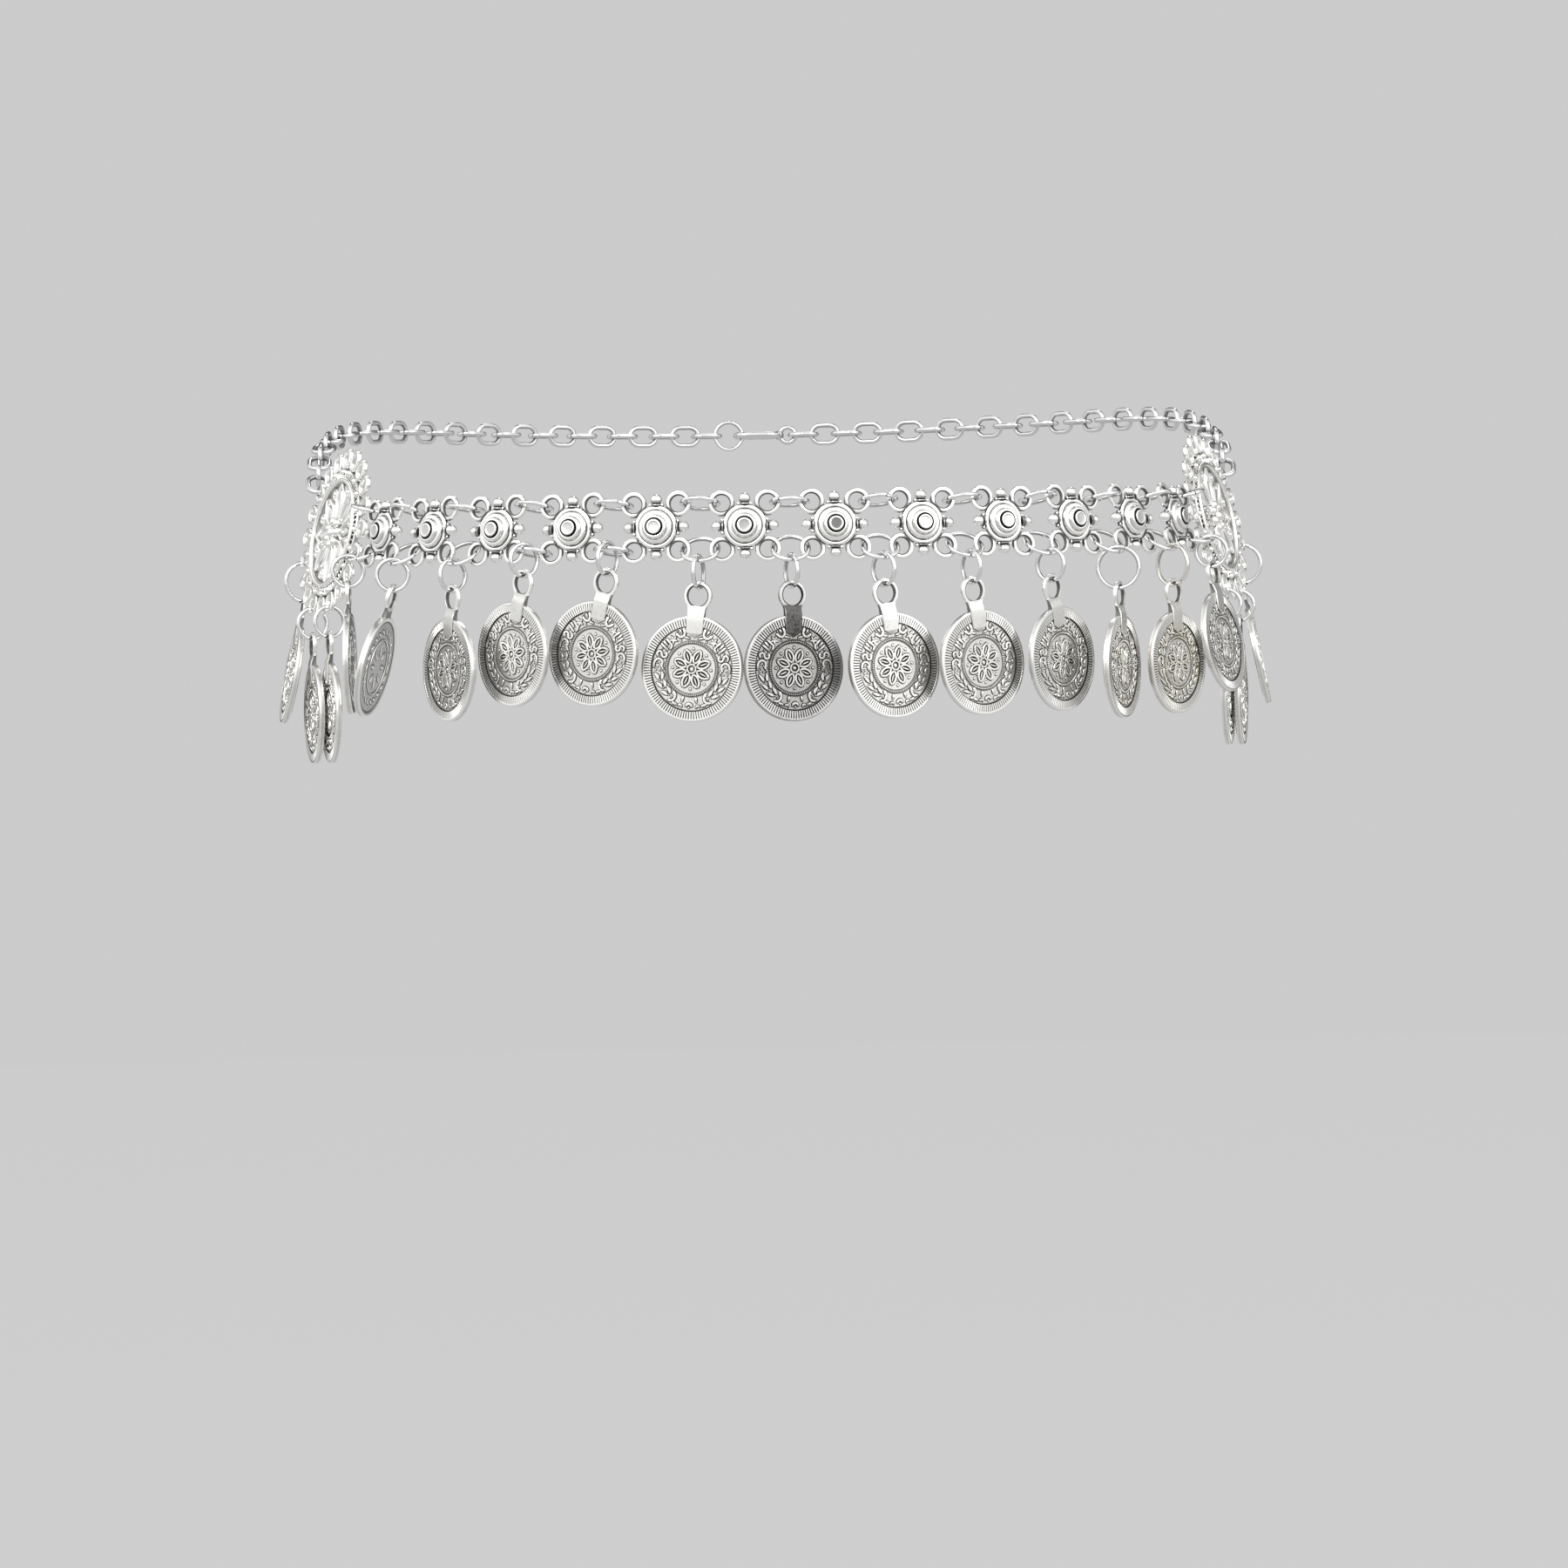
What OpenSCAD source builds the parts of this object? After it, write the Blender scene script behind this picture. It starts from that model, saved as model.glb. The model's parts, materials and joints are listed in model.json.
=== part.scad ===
// Forehead chain: a band of cast links with coins below it, a pierced medallion at
// each temple and a plain chain that closes the loop behind the head.
// Millimetres. The origin is the middle of the head loop, level with the front
// links. The front faces -Y, and +Z is up.

/* [Head loop] */
// Radius of the loop through the middles of the links
loop_r = 91.5; // [90:0.5:94]
// Distance from one link to the next, along the loop
link_pitch = 16.8; // [16.6:0.1:16.8]
// How far the band would have risen at the back of the head
band_rise = 10; // [0:1:14]
// Inward lean of the middle links, in degrees
lean_front = 4; // [0:1:8]
// Further lean of what sits beside the head, in degrees
lean_gain = 11; // [0:1:14]

/* [Links] */
// Sideways place of a corner ring's middle
corner_x = 4.3; // [4.2:0.05:4.5]
// Upward place of a corner ring's middle
corner_z = 4.35; // [4.2:0.05:4.5]
// Radius of the hole in a corner ring
corner_hole = 1.55; // [1.5:0.05:1.6]
// Thickness of a corner ring's wire
corner_wire = 0.9; // [0.8:0.05:0.9]
// Radius of the round flange under the dome
flange_r = 4.15; // [4:0.05:4.3]
// Thickness of the plate that joins the corners
plate_t = 0.8; // [0.6:0.1:1]
// Radius of a ball
ball_r = 1.1; // [0.9:0.1:1.2]
// Distance from the middle of a link to a ball
ball_at = 5.2; // [5:0.1:5.3]

/* [Jump rings] */
// Thickness of the jump ring wire
ring_wire = 0.8; // [0.75:0.05:0.8]
// Radius of the rings that join the links, to the wire's middle
join_r = 3.4; // [3.35:0.05:3.45]
// Radius of the small rings that carry coins, to the wire's middle
small_ring_r = 3.05; // [3:0.05:3.1]
// Radius of the large rings that carry coins, to the wire's middle
large_ring_r = 3.95; // [3.8:0.05:4.1]
// Gap left where one wire hangs on another
play = 0.15; // [0.12:0.01:0.18]

/* [Coins] */
// Radius of a coin
coin_r = 9.9; // [9.6:0.1:10]
// Thickness of a coin at its rim
coin_t = 1.2; // [1:0.1:1.2]
// Inner radius of the plain rim
rim_in = 9.1; // [9:0.05:9.2]
// Inner radius of the ribbed band
ribs_in = 7.7; // [7.6:0.05:7.8]
// Radius of the raised circle round the middle field
circle_r = 4.8; // [4.7:0.1:4.9]
// Height of the struck figures over the field
relief = 0.2; // [0.1:0.05:0.2]
// Radius of the bail, to its wire's middle
bail_r = 2.35; // [2.3:0.05:2.4]
// Thickness of the bail's wire
bail_wire = 0.8; // [0.7:0.05:0.8]
// Distance from the middle of the bail to the middle of the coin
bail_drop = 13.6; // [13.4:0.1:13.8]
// Width of the strap that holds the coin
strap_w = 3.3; // [3:0.1:3.4]
// How far the strap reaches in over the coin
strap_in = 4.2; // [4:0.1:4.4]

/* [Medallions] */
// Distance from the last link to a medallion, along the loop
medallion_pitch = 26.4; // [26.3:0.05:26.5]
// Turn of a medallion against the loop, in degrees
medallion_turn = -8; // [-9:0.5:-6]
// Number of open loops round the rim
rim_loops = 20; // [20:1:20]
// Radius of the circle through the middles of the loops
rim_loop_at = 15; // [14.9:0.05:15.1]
// Half the width of the hole in a loop
rim_hole = 1.15; // [1.1:0.05:1.2]
// Straight stretch of the hole in a loop
rim_straight = 0.8; // [0.7:0.05:0.9]
// Thickness of the metal round a loop's hole
rim_wire = 0.8; // [0.7:0.05:0.8]
// Thickness of the pierced plate
medallion_t = 1; // [0.9:0.05:1]
// Radius of the raised ring inside the loops
inner_ring_r = 10.6; // [10.4:0.1:10.8]
// Number of pierced petals
petals = 8; // [7:1:8]

/* [Back chain] */
// Length of a chain link over its ends
chain_l = 7; // [6.9:0.05:7.1]
// Width of a chain link
chain_w = 5; // [4.8:0.1:5.2]
// Thickness of the chain's wire
chain_wire = 1; // [0.9:0.05:1]
// Height of the chain at the back of the head
chain_top = 30; // [28:1:32]
// Turn round the head, in degrees, over which most of the chain's rise fades out
rise_fade = 14; // [13:0.5:16]
// Thickness of the clasp's wire
clasp_wire = 1.4; // [1.2:0.1:1.4]
// Width of the clasp
clasp_w = 6.6; // [6.2:0.1:6.8]

/* [Hidden] */
link_count = 12;
silver = [0.76, 0.75, 0.73];
dark_silver = [0.55, 0.54, 0.53];
steel_grey = [0.68, 0.68, 0.69];
full_turn = 360;
$fn = 72;

// How the join rings and the coin of each gap lie, from left to right in front:
// tip of the upper and the lower join ring, radius and turn of the coin's ring,
// then the coin's turn, its swing to the left, and its tilt, all in degrees.
UPPER = 0;
LOWER = 1;
RING_R = 2;
RING_TURN = 3;
COIN_TURN = 4;
SWING = 5;
TILT = 6;
gaps = [
    [-10, 22, small_ring_r, -14, -24, 2, 0],
    [-16, 35, small_ring_r, -40, -52, 0, -15],
    [-8, 38, small_ring_r, -8, -19, 8, 0],
    [-14, -10, small_ring_r, -24, -18, 14, 0],
    [-10, -10, small_ring_r, -16, -14, 14, 0],
    [-15, 39, small_ring_r, -10, -9, 6, 0],
    [-9, 41, small_ring_r, 20, 21, 0, 0],
    [-13, 41, small_ring_r, 28, 19, -7, 0],
    [-10, 40, small_ring_r, 8, 14, -8, 0],
    [-16, 39, small_ring_r, 18, 17, -11, 0],
    [-9, 38, large_ring_r, 38, 24, -4, 0],
    [-14, 35, large_ring_r, -12, 0, -3, 0],
    [-10, 10, small_ring_r, 9, -7, 0, -8]
];

// Coins of a medallion, from front to back: the loop they hang on, as an angle in
// the medallion's plane from its front, the ring's radius, the coin's turn and tilt.
LOOP_A = 0;
SIDE_RING_R = 1;
SIDE_TURN = 2;
SIDE_TILT = 3;
side_coins = [
    [-72, small_ring_r, 11, 0],
    [-108, small_ring_r, 11, 0],
    [-162, large_ring_r, 14, -11]
];

// The loop that the back chain starts from, as such an angle, and how far past the
// middle of that loop the first chain link's middle lies
chain_loop_a = 144;
first_link_out = 3.65;

// Turn round the loop, in degrees, for a length along it
function turn_of(length) = length / loop_r * full_turn / (2 * PI);

link_step = turn_of(link_pitch);
temple_a = (link_count - 1) / 2 * link_step + turn_of(medallion_pitch);
loop_step = full_turn / rim_loops;
ring_hang = ring_wire + play;
bail_hang = (ring_wire + bail_wire) / 2 + play;
side_hang = ring_hang + 0.1;
field_depth = 0.25;
field_z = coin_t / 2 - field_depth;

function link_a(i) = (i - (link_count + 1) / 2) * link_step;
function height_at(a) = band_rise * (1 - cos(a)) / 2;
function lean_at(a) = lean_front + lean_gain * (1 - cos(a));

// A point turned about Z, about Y, or leaned inward at its top
function turned(p, a) = [p.x * cos(a) - p.y * sin(a), p.x * sin(a) + p.y * cos(a), p.z];
function pitched(p, a) = [p.x * cos(a) + p.z * sin(a), p.y, p.z * cos(a) - p.x * sin(a)];
function leaned(p, a) = [p.x, p.y * cos(a) + p.z * sin(a), p.z * cos(a) - p.y * sin(a)];

// A point of a piece that sits on the loop, seen in the whole object
function on_loop(a, p, turn = 0) =
    turned(turned(leaned(p, lean_at(a)), turn) + [0, -loop_r, height_at(a)], a);

function link_hole(i, side, up) = on_loop(link_a(i), [side * corner_x, 0, up * corner_z]);

// A point in a medallion's plane, from a flat point with its front along X
function temple_point(side, flat) =
    let (p = on_loop(temple_a, [-flat.x, 0, flat.y], medallion_turn))
    [side * p.x, p.y, p.z];
function around(r, a) = r * [cos(a), sin(a)];

function temple_hole(side, up) = temple_point(side, around(rim_loop_at, up * loop_step));

// The holes that the join rings of a gap pass through
function gap_end(g, side, up) =
    side < 0
    ? (g == 0 ? temple_hole(-1, up) : link_hole(g, 1, up))
    : (g == link_count ? temple_hole(1, up) : link_hole(g + 1, -1, up));

function join_mid(g, up) = (gap_end(g, -1, up) + gap_end(g, 1, up)) / 2;
function join_way(g, up) = gap_end(g, 1, up) - gap_end(g, -1, up);
function join_yaw(g, up) = atan2(join_way(g, up).y, join_way(g, up).x);
function join_rise(g, up) =
    let (way = join_way(g, up))
    atan2(way.z, norm([way.x, way.y]));

// The front of a lower join ring, where the coin's ring hangs
function strand(g) =
    let (tip = gaps[g][LOWER])
    let (front = [0, -join_r * cos(tip), -join_r * sin(tip)])
    join_mid(g, -1) + turned(pitched(front, -join_rise(g, -1)), join_yaw(g, -1));

function coin_ring_mid(g) = strand(g) + [0, 0, ring_hang - gaps[g][RING_R]];

// The lowest middle of metal of a rim loop, where a medallion's coin ring hangs
function side_strand(a) =
    temple_point(1, around(rim_loop_at + rim_straight / 2, a) - [0, rim_hole + rim_wire / 2]);

function side_ring_mid(k) =
    side_strand(side_coins[k][LOOP_A]) + [0, 0, side_hang - side_coins[k][SIDE_RING_R]];

// The back chain's height and radius at a turn round the head, and the slope of its
// path. It starts where the medallion's loop is, a little off the head's loop.
chain_start = temple_point(1, around(rim_loop_at + first_link_out, chain_loop_a));
chain_start_a = atan2(chain_start.x, -chain_start.y);
chain_rise = chain_top - chain_start.z;
chain_off = norm([chain_start.x, chain_start.y]) - loop_r;
chain_pitch = chain_l - 2 * chain_wire - play;
function fade(a) = exp(-(a - chain_start_a) / rise_fade);
function chain_z(a) = chain_top - chain_rise * fade(a);
function chain_r(a) = loop_r + chain_off * fade(a);
function chain_slope(a) = atan(chain_rise / rise_fade * fade(a) / (loop_r * PI / 180));
function chain_next(a) =
    let (half_way = a + turn_of(chain_pitch / 2) * cos(chain_slope(a)))
    a + turn_of(chain_pitch * loop_r / chain_r(half_way)) * cos(chain_slope(half_way));

// Room on each side of the back for half of the clasp and its ring
clasp_room = 9.2;
last_a = 180 - turn_of(clasp_room);
chain_angles = [for (a = chain_start_a; a < last_a; a = chain_next(a)) a];
chain_count = len(chain_angles);
chain_end = (180 - chain_angles[chain_count - 1]) * loop_r * PI / 180;

// The clasp reaches from the right half of the chain to the ring on the left half
chain_reach = (chain_l - chain_wire) / 2;
eye_r = 1.7;
eye_wire = 1;
clasp_from = -chain_end + chain_reach - (chain_wire + eye_wire) / 2 - play;
clasp_ring_mid = chain_end - chain_reach + (chain_wire + ring_wire) / 2 + play - small_ring_r;
clasp_to = clasp_ring_mid - small_ring_r + (clasp_wire + ring_wire) / 2 + play;
clasp_roll = 90 * (chain_count % 2);

// A piece drawn face up, set upright with its face to the front
module standing() {
    rotate([90, 0, 0])
    children();
}

module place_on_loop(a, turn = 0) {
    rotate([0, 0, a])
    translate([0, -loop_r, height_at(a)])
    rotate([-lean_at(a), 0, turn])
    children();
}

module on_side(side) {
    mirror([side < 0 ? 1 : 0, 0, 0])
    children();
}

module ring(mid_r, wire) {
    rotate_extrude()
    translate([mid_r, 0])
    circle(d = wire);
}

// A ring of two half circles and two straight stretches, along X
module oval_ring(length, width, wire) {
    end_r = (width - wire) / 2;
    straight = length - width;
    for (end = [-1, 1]) {
        translate([end * straight / 2, 0, 0])
        rotate([0, 0, -90 * end])
        rotate_extrude(angle = 180)
        translate([end_r, 0])
        circle(d = wire);
        translate([-straight / 2, end * end_r, 0])
        rotate([0, 90, 0])
        cylinder(h = straight, d = wire);
    }
}

// A leaf shape along X, between two arcs
module leaf(length, width) {
    arc_r = (length * length + width * width) / (4 * width);
    intersection() {
        translate([0, arc_r - width / 2])
        circle(arc_r);
        translate([0, width / 2 - arc_r])
        circle(arc_r);
    }
}

module star(points, tip_r, notch_r) {
    step = full_turn / (2 * points);
    polygon([
        for (k = [0:2 * points - 1])
        (k % 2 == 0 ? tip_r : notch_r) * [cos(90 + k * step), sin(90 + k * step)]
    ]);
}

// Radius, then height of the top, of each step of the dome
dome_steps = [[flange_r, 0.5], [3.25, 1.15], [2.4, 1.9]];
dome_groove = [1.7, 1.5];
dome_button = [1.25, 2.3];
chamfer = 0.15;

module dome() {
    steps = [
        for (step = dome_steps)
        each [[step[0], step[1] - chamfer], [step[0] - chamfer, step[1]]]
    ];
    groove_and_button = [
        [dome_groove[0], dome_steps[2][1]],
        dome_groove,
        [dome_button[0], dome_groove[1]],
        [dome_button[0], dome_button[1] - chamfer],
        [dome_button[0] - chamfer, dome_button[1]],
        [0, dome_button[1]]
    ];
    steps_inward = [
        for (k = [0:len(steps) - 1])
        each k > 0 && k % 2 == 0
            ? [[steps[k][0], steps[k - 1][1]], steps[k]]
            : [steps[k]]
    ];
    rotate_extrude()
    polygon(concat([[0, -plate_t / 2], [flange_r, -plate_t / 2]], steps_inward, groove_and_button));
}

module link_casting() {
    neck_from = flange_r - 0.5;
    neck_w = 1.2;
    neck_t = plate_t - 0.1;
    dome();
    for (quarter = [0:3]) {
        rotate([0, 0, 90 * quarter]) {
            translate([ball_at, 0, 0])
            sphere(ball_r);
            translate([neck_from, -neck_w / 2, -neck_t / 2])
            cube([ball_at - neck_from, neck_w, neck_t]);
        }
    }
    for (side = [-1, 1], up = [-1, 1]) {
        translate([side * corner_x, up * corner_z, 0])
        ring(corner_hole + corner_wire / 2, corner_wire);
    }
}

module link(i) {
    color(silver)
    place_on_loop(link_a(i))
    standing()
    link_casting();
}

module join_ring(g, up, tip) {
    translate(join_mid(g, up))
    rotate([tip, -join_rise(g, up), join_yaw(g, up)])
    ring(join_r, ring_wire);
}

module upper_join_rings() {
    color(steel_grey)
    for (g = [0:link_count]) {
        join_ring(g, 1, gaps[g][UPPER]);
    }
}

module lower_join_rings() {
    color(steel_grey)
    for (g = [0:link_count]) {
        join_ring(g, -1, gaps[g][LOWER]);
    }
}

module coin_rings() {
    color(steel_grey)
    for (g = [0:link_count]) {
        translate(coin_ring_mid(g))
        rotate([0, 90, join_yaw(g, -1) + gaps[g][RING_TURN]])
        ring(gaps[g][RING_R], ring_wire);
    }
}

// The struck disc: plain rim, ribbed band, field and raised circle
module coin_disc() {
    band_depth = 0.12;
    back_depth = 0.2;
    half_circle_w = 0.25;
    rim_z = coin_t / 2;
    band_z = rim_z - band_depth;
    back_z = rim_z - back_depth;
    rotate_extrude()
    polygon([
        [0, -back_z],
        [rim_in, -back_z],
        [rim_in, -rim_z],
        [coin_r, -rim_z],
        [coin_r, rim_z],
        [rim_in, rim_z],
        [rim_in, band_z],
        [ribs_in, band_z],
        [ribs_in, field_z],
        [circle_r + half_circle_w, field_z],
        [circle_r + half_circle_w, field_z + relief],
        [circle_r - half_circle_w, field_z + relief],
        [circle_r - half_circle_w, field_z],
        [0, field_z]
    ]);
}

// Raised figures: a rosette in the middle, two stars above, a branch on each side
module coin_figures() {
    sunk = 0.1;
    figures_r = (ribs_in + circle_r) / 2;
    rosette_petals = 8;
    rosette_petal = [2.8, 1.2];
    rosette_r = 2.5;
    centre_r = 0.8;
    star_a = 38;
    star_points = 5;
    star_tip_r = 0.9;
    star_notch_r = 0.38;
    leaves = 6;
    first_leaf_a = 170;
    leaf_step = 17;
    leaf_lean = 28;
    branch_leaf = [1.9, 0.8];
    translate([0, 0, field_z - sunk])
    linear_extrude(relief + sunk) {
        for (k = [0:rosette_petals - 1]) {
            rotate(k * full_turn / rosette_petals)
            translate([rosette_r, 0])
            leaf(rosette_petal[0], rosette_petal[1]);
        }
        circle(centre_r);
        for (side = [-1, 1]) {
            rotate(-side * star_a)
            translate([0, figures_r])
            star(star_points, star_tip_r, star_notch_r);
            for (k = [0:leaves - 1]) {
                rotate(side * (first_leaf_a - leaf_step * k))
                translate([0, figures_r])
                rotate(side * leaf_lean)
                leaf(branch_leaf[0], branch_leaf[1]);
            }
        }
    }
}

module coin_bail() {
    strap_top = bail_drop - bail_r + bail_wire / 2;
    strap_tip = coin_r - strap_in;
    strap_over_rim = 0.25;
    point_h = 1;
    translate([0, bail_drop, 0])
    ring(bail_r, bail_wire);
    linear_extrude(coin_t / 2 + strap_over_rim)
    polygon([
        [-strap_w / 2, strap_top],
        [-strap_w / 2, strap_tip + point_h],
        [0, strap_tip],
        [strap_w / 2, strap_tip + point_h],
        [strap_w / 2, strap_top]
    ]);
}

// A coin hung by its bail from the lowest point of its ring
module hung_coin(low_point, yaw, swing, tilt) {
    translate(low_point)
    rotate([0, 0, yaw])
    rotate([tilt, swing, 0])
    translate([0, 0, bail_hang - bail_r - bail_drop])
    standing() {
        coin_disc();
        coin_figures();
        coin_bail();
    }
}

module coin(g) {
    how = gaps[g];
    color(g == 6 ? dark_silver : silver)
    hung_coin(
        coin_ring_mid(g) - [0, 0, how[RING_R]],
        join_yaw(g, -1) + how[COIN_TURN],
        how[SWING],
        how[TILT]
    );
}

module side_rings(side) {
    color(steel_grey)
    on_side(side)
    for (k = [0:len(side_coins) - 1]) {
        translate(side_ring_mid(k))
        rotate([0, 90, temple_a + medallion_turn])
        ring(side_coins[k][SIDE_RING_R], ring_wire);
    }
}

module side_coin(side, k) {
    color(silver)
    on_side(side)
    hung_coin(
        side_ring_mid(k) - [0, 0, side_coins[k][SIDE_RING_R]],
        temple_a + medallion_turn + side_coins[k][SIDE_TURN],
        0,
        side_coins[k][SIDE_TILT]
    );
}

// The pierced plate: rim loops, band, petals and middle
module medallion_plate() {
    loop_w = 2 * (rim_hole + rim_wire);
    loop_half = rim_straight / 2;
    band_out = 12.9;
    band_in = 10.1;
    petal_l = 8.6;
    petal_w = 4.2;
    petal_wall = 0.8;
    petal_at = 6.2;
    opening_at = petal_at + 0.4;
    opening_l = petal_l - 3.2;
    middle_r = 2.6;
    translate([0, 0, -medallion_t / 2])
    linear_extrude(medallion_t)
    difference() {
        union() {
            difference() {
                circle(band_out);
                circle(band_in);
            }
            for (k = [0:rim_loops - 1]) {
                rotate(k * loop_step) {
                    for (end = [-1, 1]) {
                        translate([rim_loop_at + end * loop_half, 0])
                        circle(loop_w / 2);
                    }
                    translate([rim_loop_at - loop_half, -loop_w / 2])
                    square([rim_straight, loop_w]);
                }
            }
            for (k = [0:petals - 1]) {
                rotate(k * full_turn / petals)
                translate([petal_at, 0])
                leaf(petal_l, petal_w);
            }
            circle(middle_r);
        }
        for (k = [0:rim_loops - 1]) {
            rotate(k * loop_step) {
                for (end = [-1, 1]) {
                    translate([rim_loop_at + end * loop_half, 0])
                    circle(rim_hole);
                }
                translate([rim_loop_at - loop_half, -rim_hole])
                square([rim_straight, 2 * rim_hole]);
            }
        }
        for (k = [0:petals - 1]) {
            rotate(k * full_turn / petals)
            translate([opening_at, 0])
            leaf(opening_l, petal_w - 2 * petal_wall);
        }
    }
}

module medallion_casting() {
    inner_ring_wire = 1.4;
    bead_at = 12.4;
    bead_r = 0.65;
    flower_beads = 6;
    flower_r = 1.8;
    flower_bead_r = 0.6;
    flower_middle_r = 1.2;
    medallion_plate();
    translate([0, 0, medallion_t / 2]) {
        ring(inner_ring_r, inner_ring_wire);
        for (k = [0:rim_loops - 1]) {
            rotate([0, 0, k * loop_step])
            translate([bead_at, 0, 0])
            sphere(bead_r);
        }
        sphere(flower_middle_r);
        for (k = [0:flower_beads - 1]) {
            rotate([0, 0, k * full_turn / flower_beads])
            translate([flower_r, 0, 0])
            sphere(flower_bead_r);
        }
    }
}

module medallion(side) {
    color(silver)
    place_on_loop(side * temple_a, side * medallion_turn)
    standing()
    medallion_casting();
}

module chain_place(a, roll) {
    rotate([0, 0, a])
    translate([0, -chain_r(a), chain_z(a)])
    rotate([roll, -chain_slope(a), 0])
    children();
}

// Each link is rolled a quarter turn against the one before it
module back_chain(side) {
    color(steel_grey)
    on_side(side)
    for (k = [0:chain_count - 1]) {
        chain_place(chain_angles[k], 90 * (k % 2))
        oval_ring(chain_l, chain_w, chain_wire);
    }
}

// A place on the straight line that touches the loop a length past its back
module at_back(touch, along, roll) {
    rotate([0, 0, 180 + turn_of(touch)])
    translate([along - touch, -loop_r, chain_top])
    rotate([roll, 0, 0])
    children();
}

// One plain piece: an upright eye for the chain, and a flat oval for the ring
module clasp() {
    knob_r = 1.1;
    knob_at = clasp_from + 2 * eye_r + 0.2;
    body_from = knob_at + 0.2;
    body_mid = (body_from + clasp_to) / 2;
    // Rounded, so that its straight stretches end just where its bends start
    rounded_to = 0.01;
    body_l = round((clasp_to - body_from + clasp_wire) / rounded_to) * rounded_to;
    clasp_mid = (clasp_from + clasp_to) / 2;
    color(steel_grey) {
        at_back(clasp_mid, clasp_from + eye_r, clasp_roll)
        ring(eye_r, eye_wire);
        at_back(clasp_mid, knob_at, 0)
        sphere(knob_r);
        at_back(clasp_mid, body_mid, 90 - clasp_roll)
        oval_ring(body_l, clasp_w, clasp_wire);
    }
}

module clasp_ring() {
    color(steel_grey)
    at_back(clasp_ring_mid, clasp_ring_mid, clasp_roll)
    ring(small_ring_r, ring_wire);
}

for (i = [1:link_count]) {
    link(i);
}
for (g = [0:link_count]) {
    coin(g);
}
for (k = [1:len(side_coins)]) {
    side_coin(-1, k - 1);
    side_coin(1, k - 1);
}
medallion(-1);  // medallion_left
medallion(1);  // medallion_right
upper_join_rings();
lower_join_rings();
coin_rings();
side_rings(-1);  // rings_left
side_rings(1);  // rings_right
back_chain(-1);  // back_chain_left
back_chain(1);  // back_chain_right
clasp();
clasp_ring();
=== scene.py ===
# %% [markdown]
# # A forehead chain of silver links and coins
#
# A forehead chain is a loop. Its front is a band of cast links with a pierced medallion
# at each end, coins hang below them, and a plain chain closes the loop at the back. A
# scene like this could be made by hand with the modelling tools, but it has well over a
# hundred small parts that repeat, so this lesson makes each kind once in code and sets
# it down many times.
#
# The solids from the CAD step are loaded first. They say where everything is, and
# every piece that is made here takes the place of one of them.

import json
import math
import random

import bpy
import numpy as np
from mathutils import Matrix, Vector

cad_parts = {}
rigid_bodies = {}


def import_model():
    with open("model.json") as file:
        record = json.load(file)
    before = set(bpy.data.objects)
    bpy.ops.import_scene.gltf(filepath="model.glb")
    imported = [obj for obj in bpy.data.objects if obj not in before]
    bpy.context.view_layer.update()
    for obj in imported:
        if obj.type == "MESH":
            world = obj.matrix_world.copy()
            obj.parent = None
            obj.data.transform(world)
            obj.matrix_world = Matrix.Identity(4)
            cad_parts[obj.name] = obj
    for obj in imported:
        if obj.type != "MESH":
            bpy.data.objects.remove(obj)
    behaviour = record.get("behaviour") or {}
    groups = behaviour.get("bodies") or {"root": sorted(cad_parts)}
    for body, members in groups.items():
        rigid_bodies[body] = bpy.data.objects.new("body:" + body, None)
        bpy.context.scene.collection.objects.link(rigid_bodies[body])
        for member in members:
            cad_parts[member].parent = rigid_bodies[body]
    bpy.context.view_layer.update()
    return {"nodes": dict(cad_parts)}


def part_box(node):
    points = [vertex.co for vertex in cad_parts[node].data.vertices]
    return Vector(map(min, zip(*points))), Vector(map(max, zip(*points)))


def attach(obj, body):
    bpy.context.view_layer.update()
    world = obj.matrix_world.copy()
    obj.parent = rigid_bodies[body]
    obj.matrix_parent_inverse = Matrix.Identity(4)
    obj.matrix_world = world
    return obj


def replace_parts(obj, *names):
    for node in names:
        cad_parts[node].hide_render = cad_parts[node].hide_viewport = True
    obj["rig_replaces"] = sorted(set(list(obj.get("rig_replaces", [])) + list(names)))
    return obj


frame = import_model()
print("solids loaded:", len(frame["nodes"]))

# %% [markdown]
# ## Sizes
#
# Blender works in metres here, but a jeweller thinks in millimetres. All sizes below
# are in millimetres and are turned into metres in one place, when a mesh is made.
# They are the sizes of the solids, so that each new piece fits where its solid was. Two
# wires that hang in each other have a little play between them, and what hangs lower is
# placed from that play.

# %% Sizes of the loop and its parts, in millimetres
MM = 0.001
LOOP_R = 91.5
LINK_COUNT = 12
LINK_PITCH = 16.8
BAND_RISE = 10  # how much higher the loop would lie at the back than in front
LEAN_FRONT = 4  # degrees by which the front links lean back
LEAN_GAIN = 11  # further degrees of lean a quarter of the way round

CORNER_X = 4.3
CORNER_Z = 4.35
CORNER_HOLE = 1.55

RING_WIRE = 0.8
JOIN_R = 3.4
SMALL_RING_R = 3.05
LARGE_RING_R = 3.95

COIN_R = 9.9
COIN_T = 1.2
BAIL_R = 2.35
BAIL_WIRE = 0.8
BAIL_DROP = 13.6  # from the middle of the bail down to the middle of the coin

PLAY = 0.15
RING_HANG = RING_WIRE + PLAY
BAIL_HANG = (RING_WIRE + BAIL_WIRE) / 2 + PLAY
SIDE_HANG = RING_HANG + 0.1

MEDALLION_PITCH = 26.4  # along the loop, from the last link to the medallion's middle
MEDALLION_TURN = -8  # degrees by which a medallion turns out of the loop
RIM_LOOPS = 20
RIM_LOOP_AT = 15  # from the medallion's middle to the middle of a rim loop
RIM_HOLE = 1.15
RIM_STRAIGHT = 0.8
RIM_WIRE = 0.8

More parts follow.
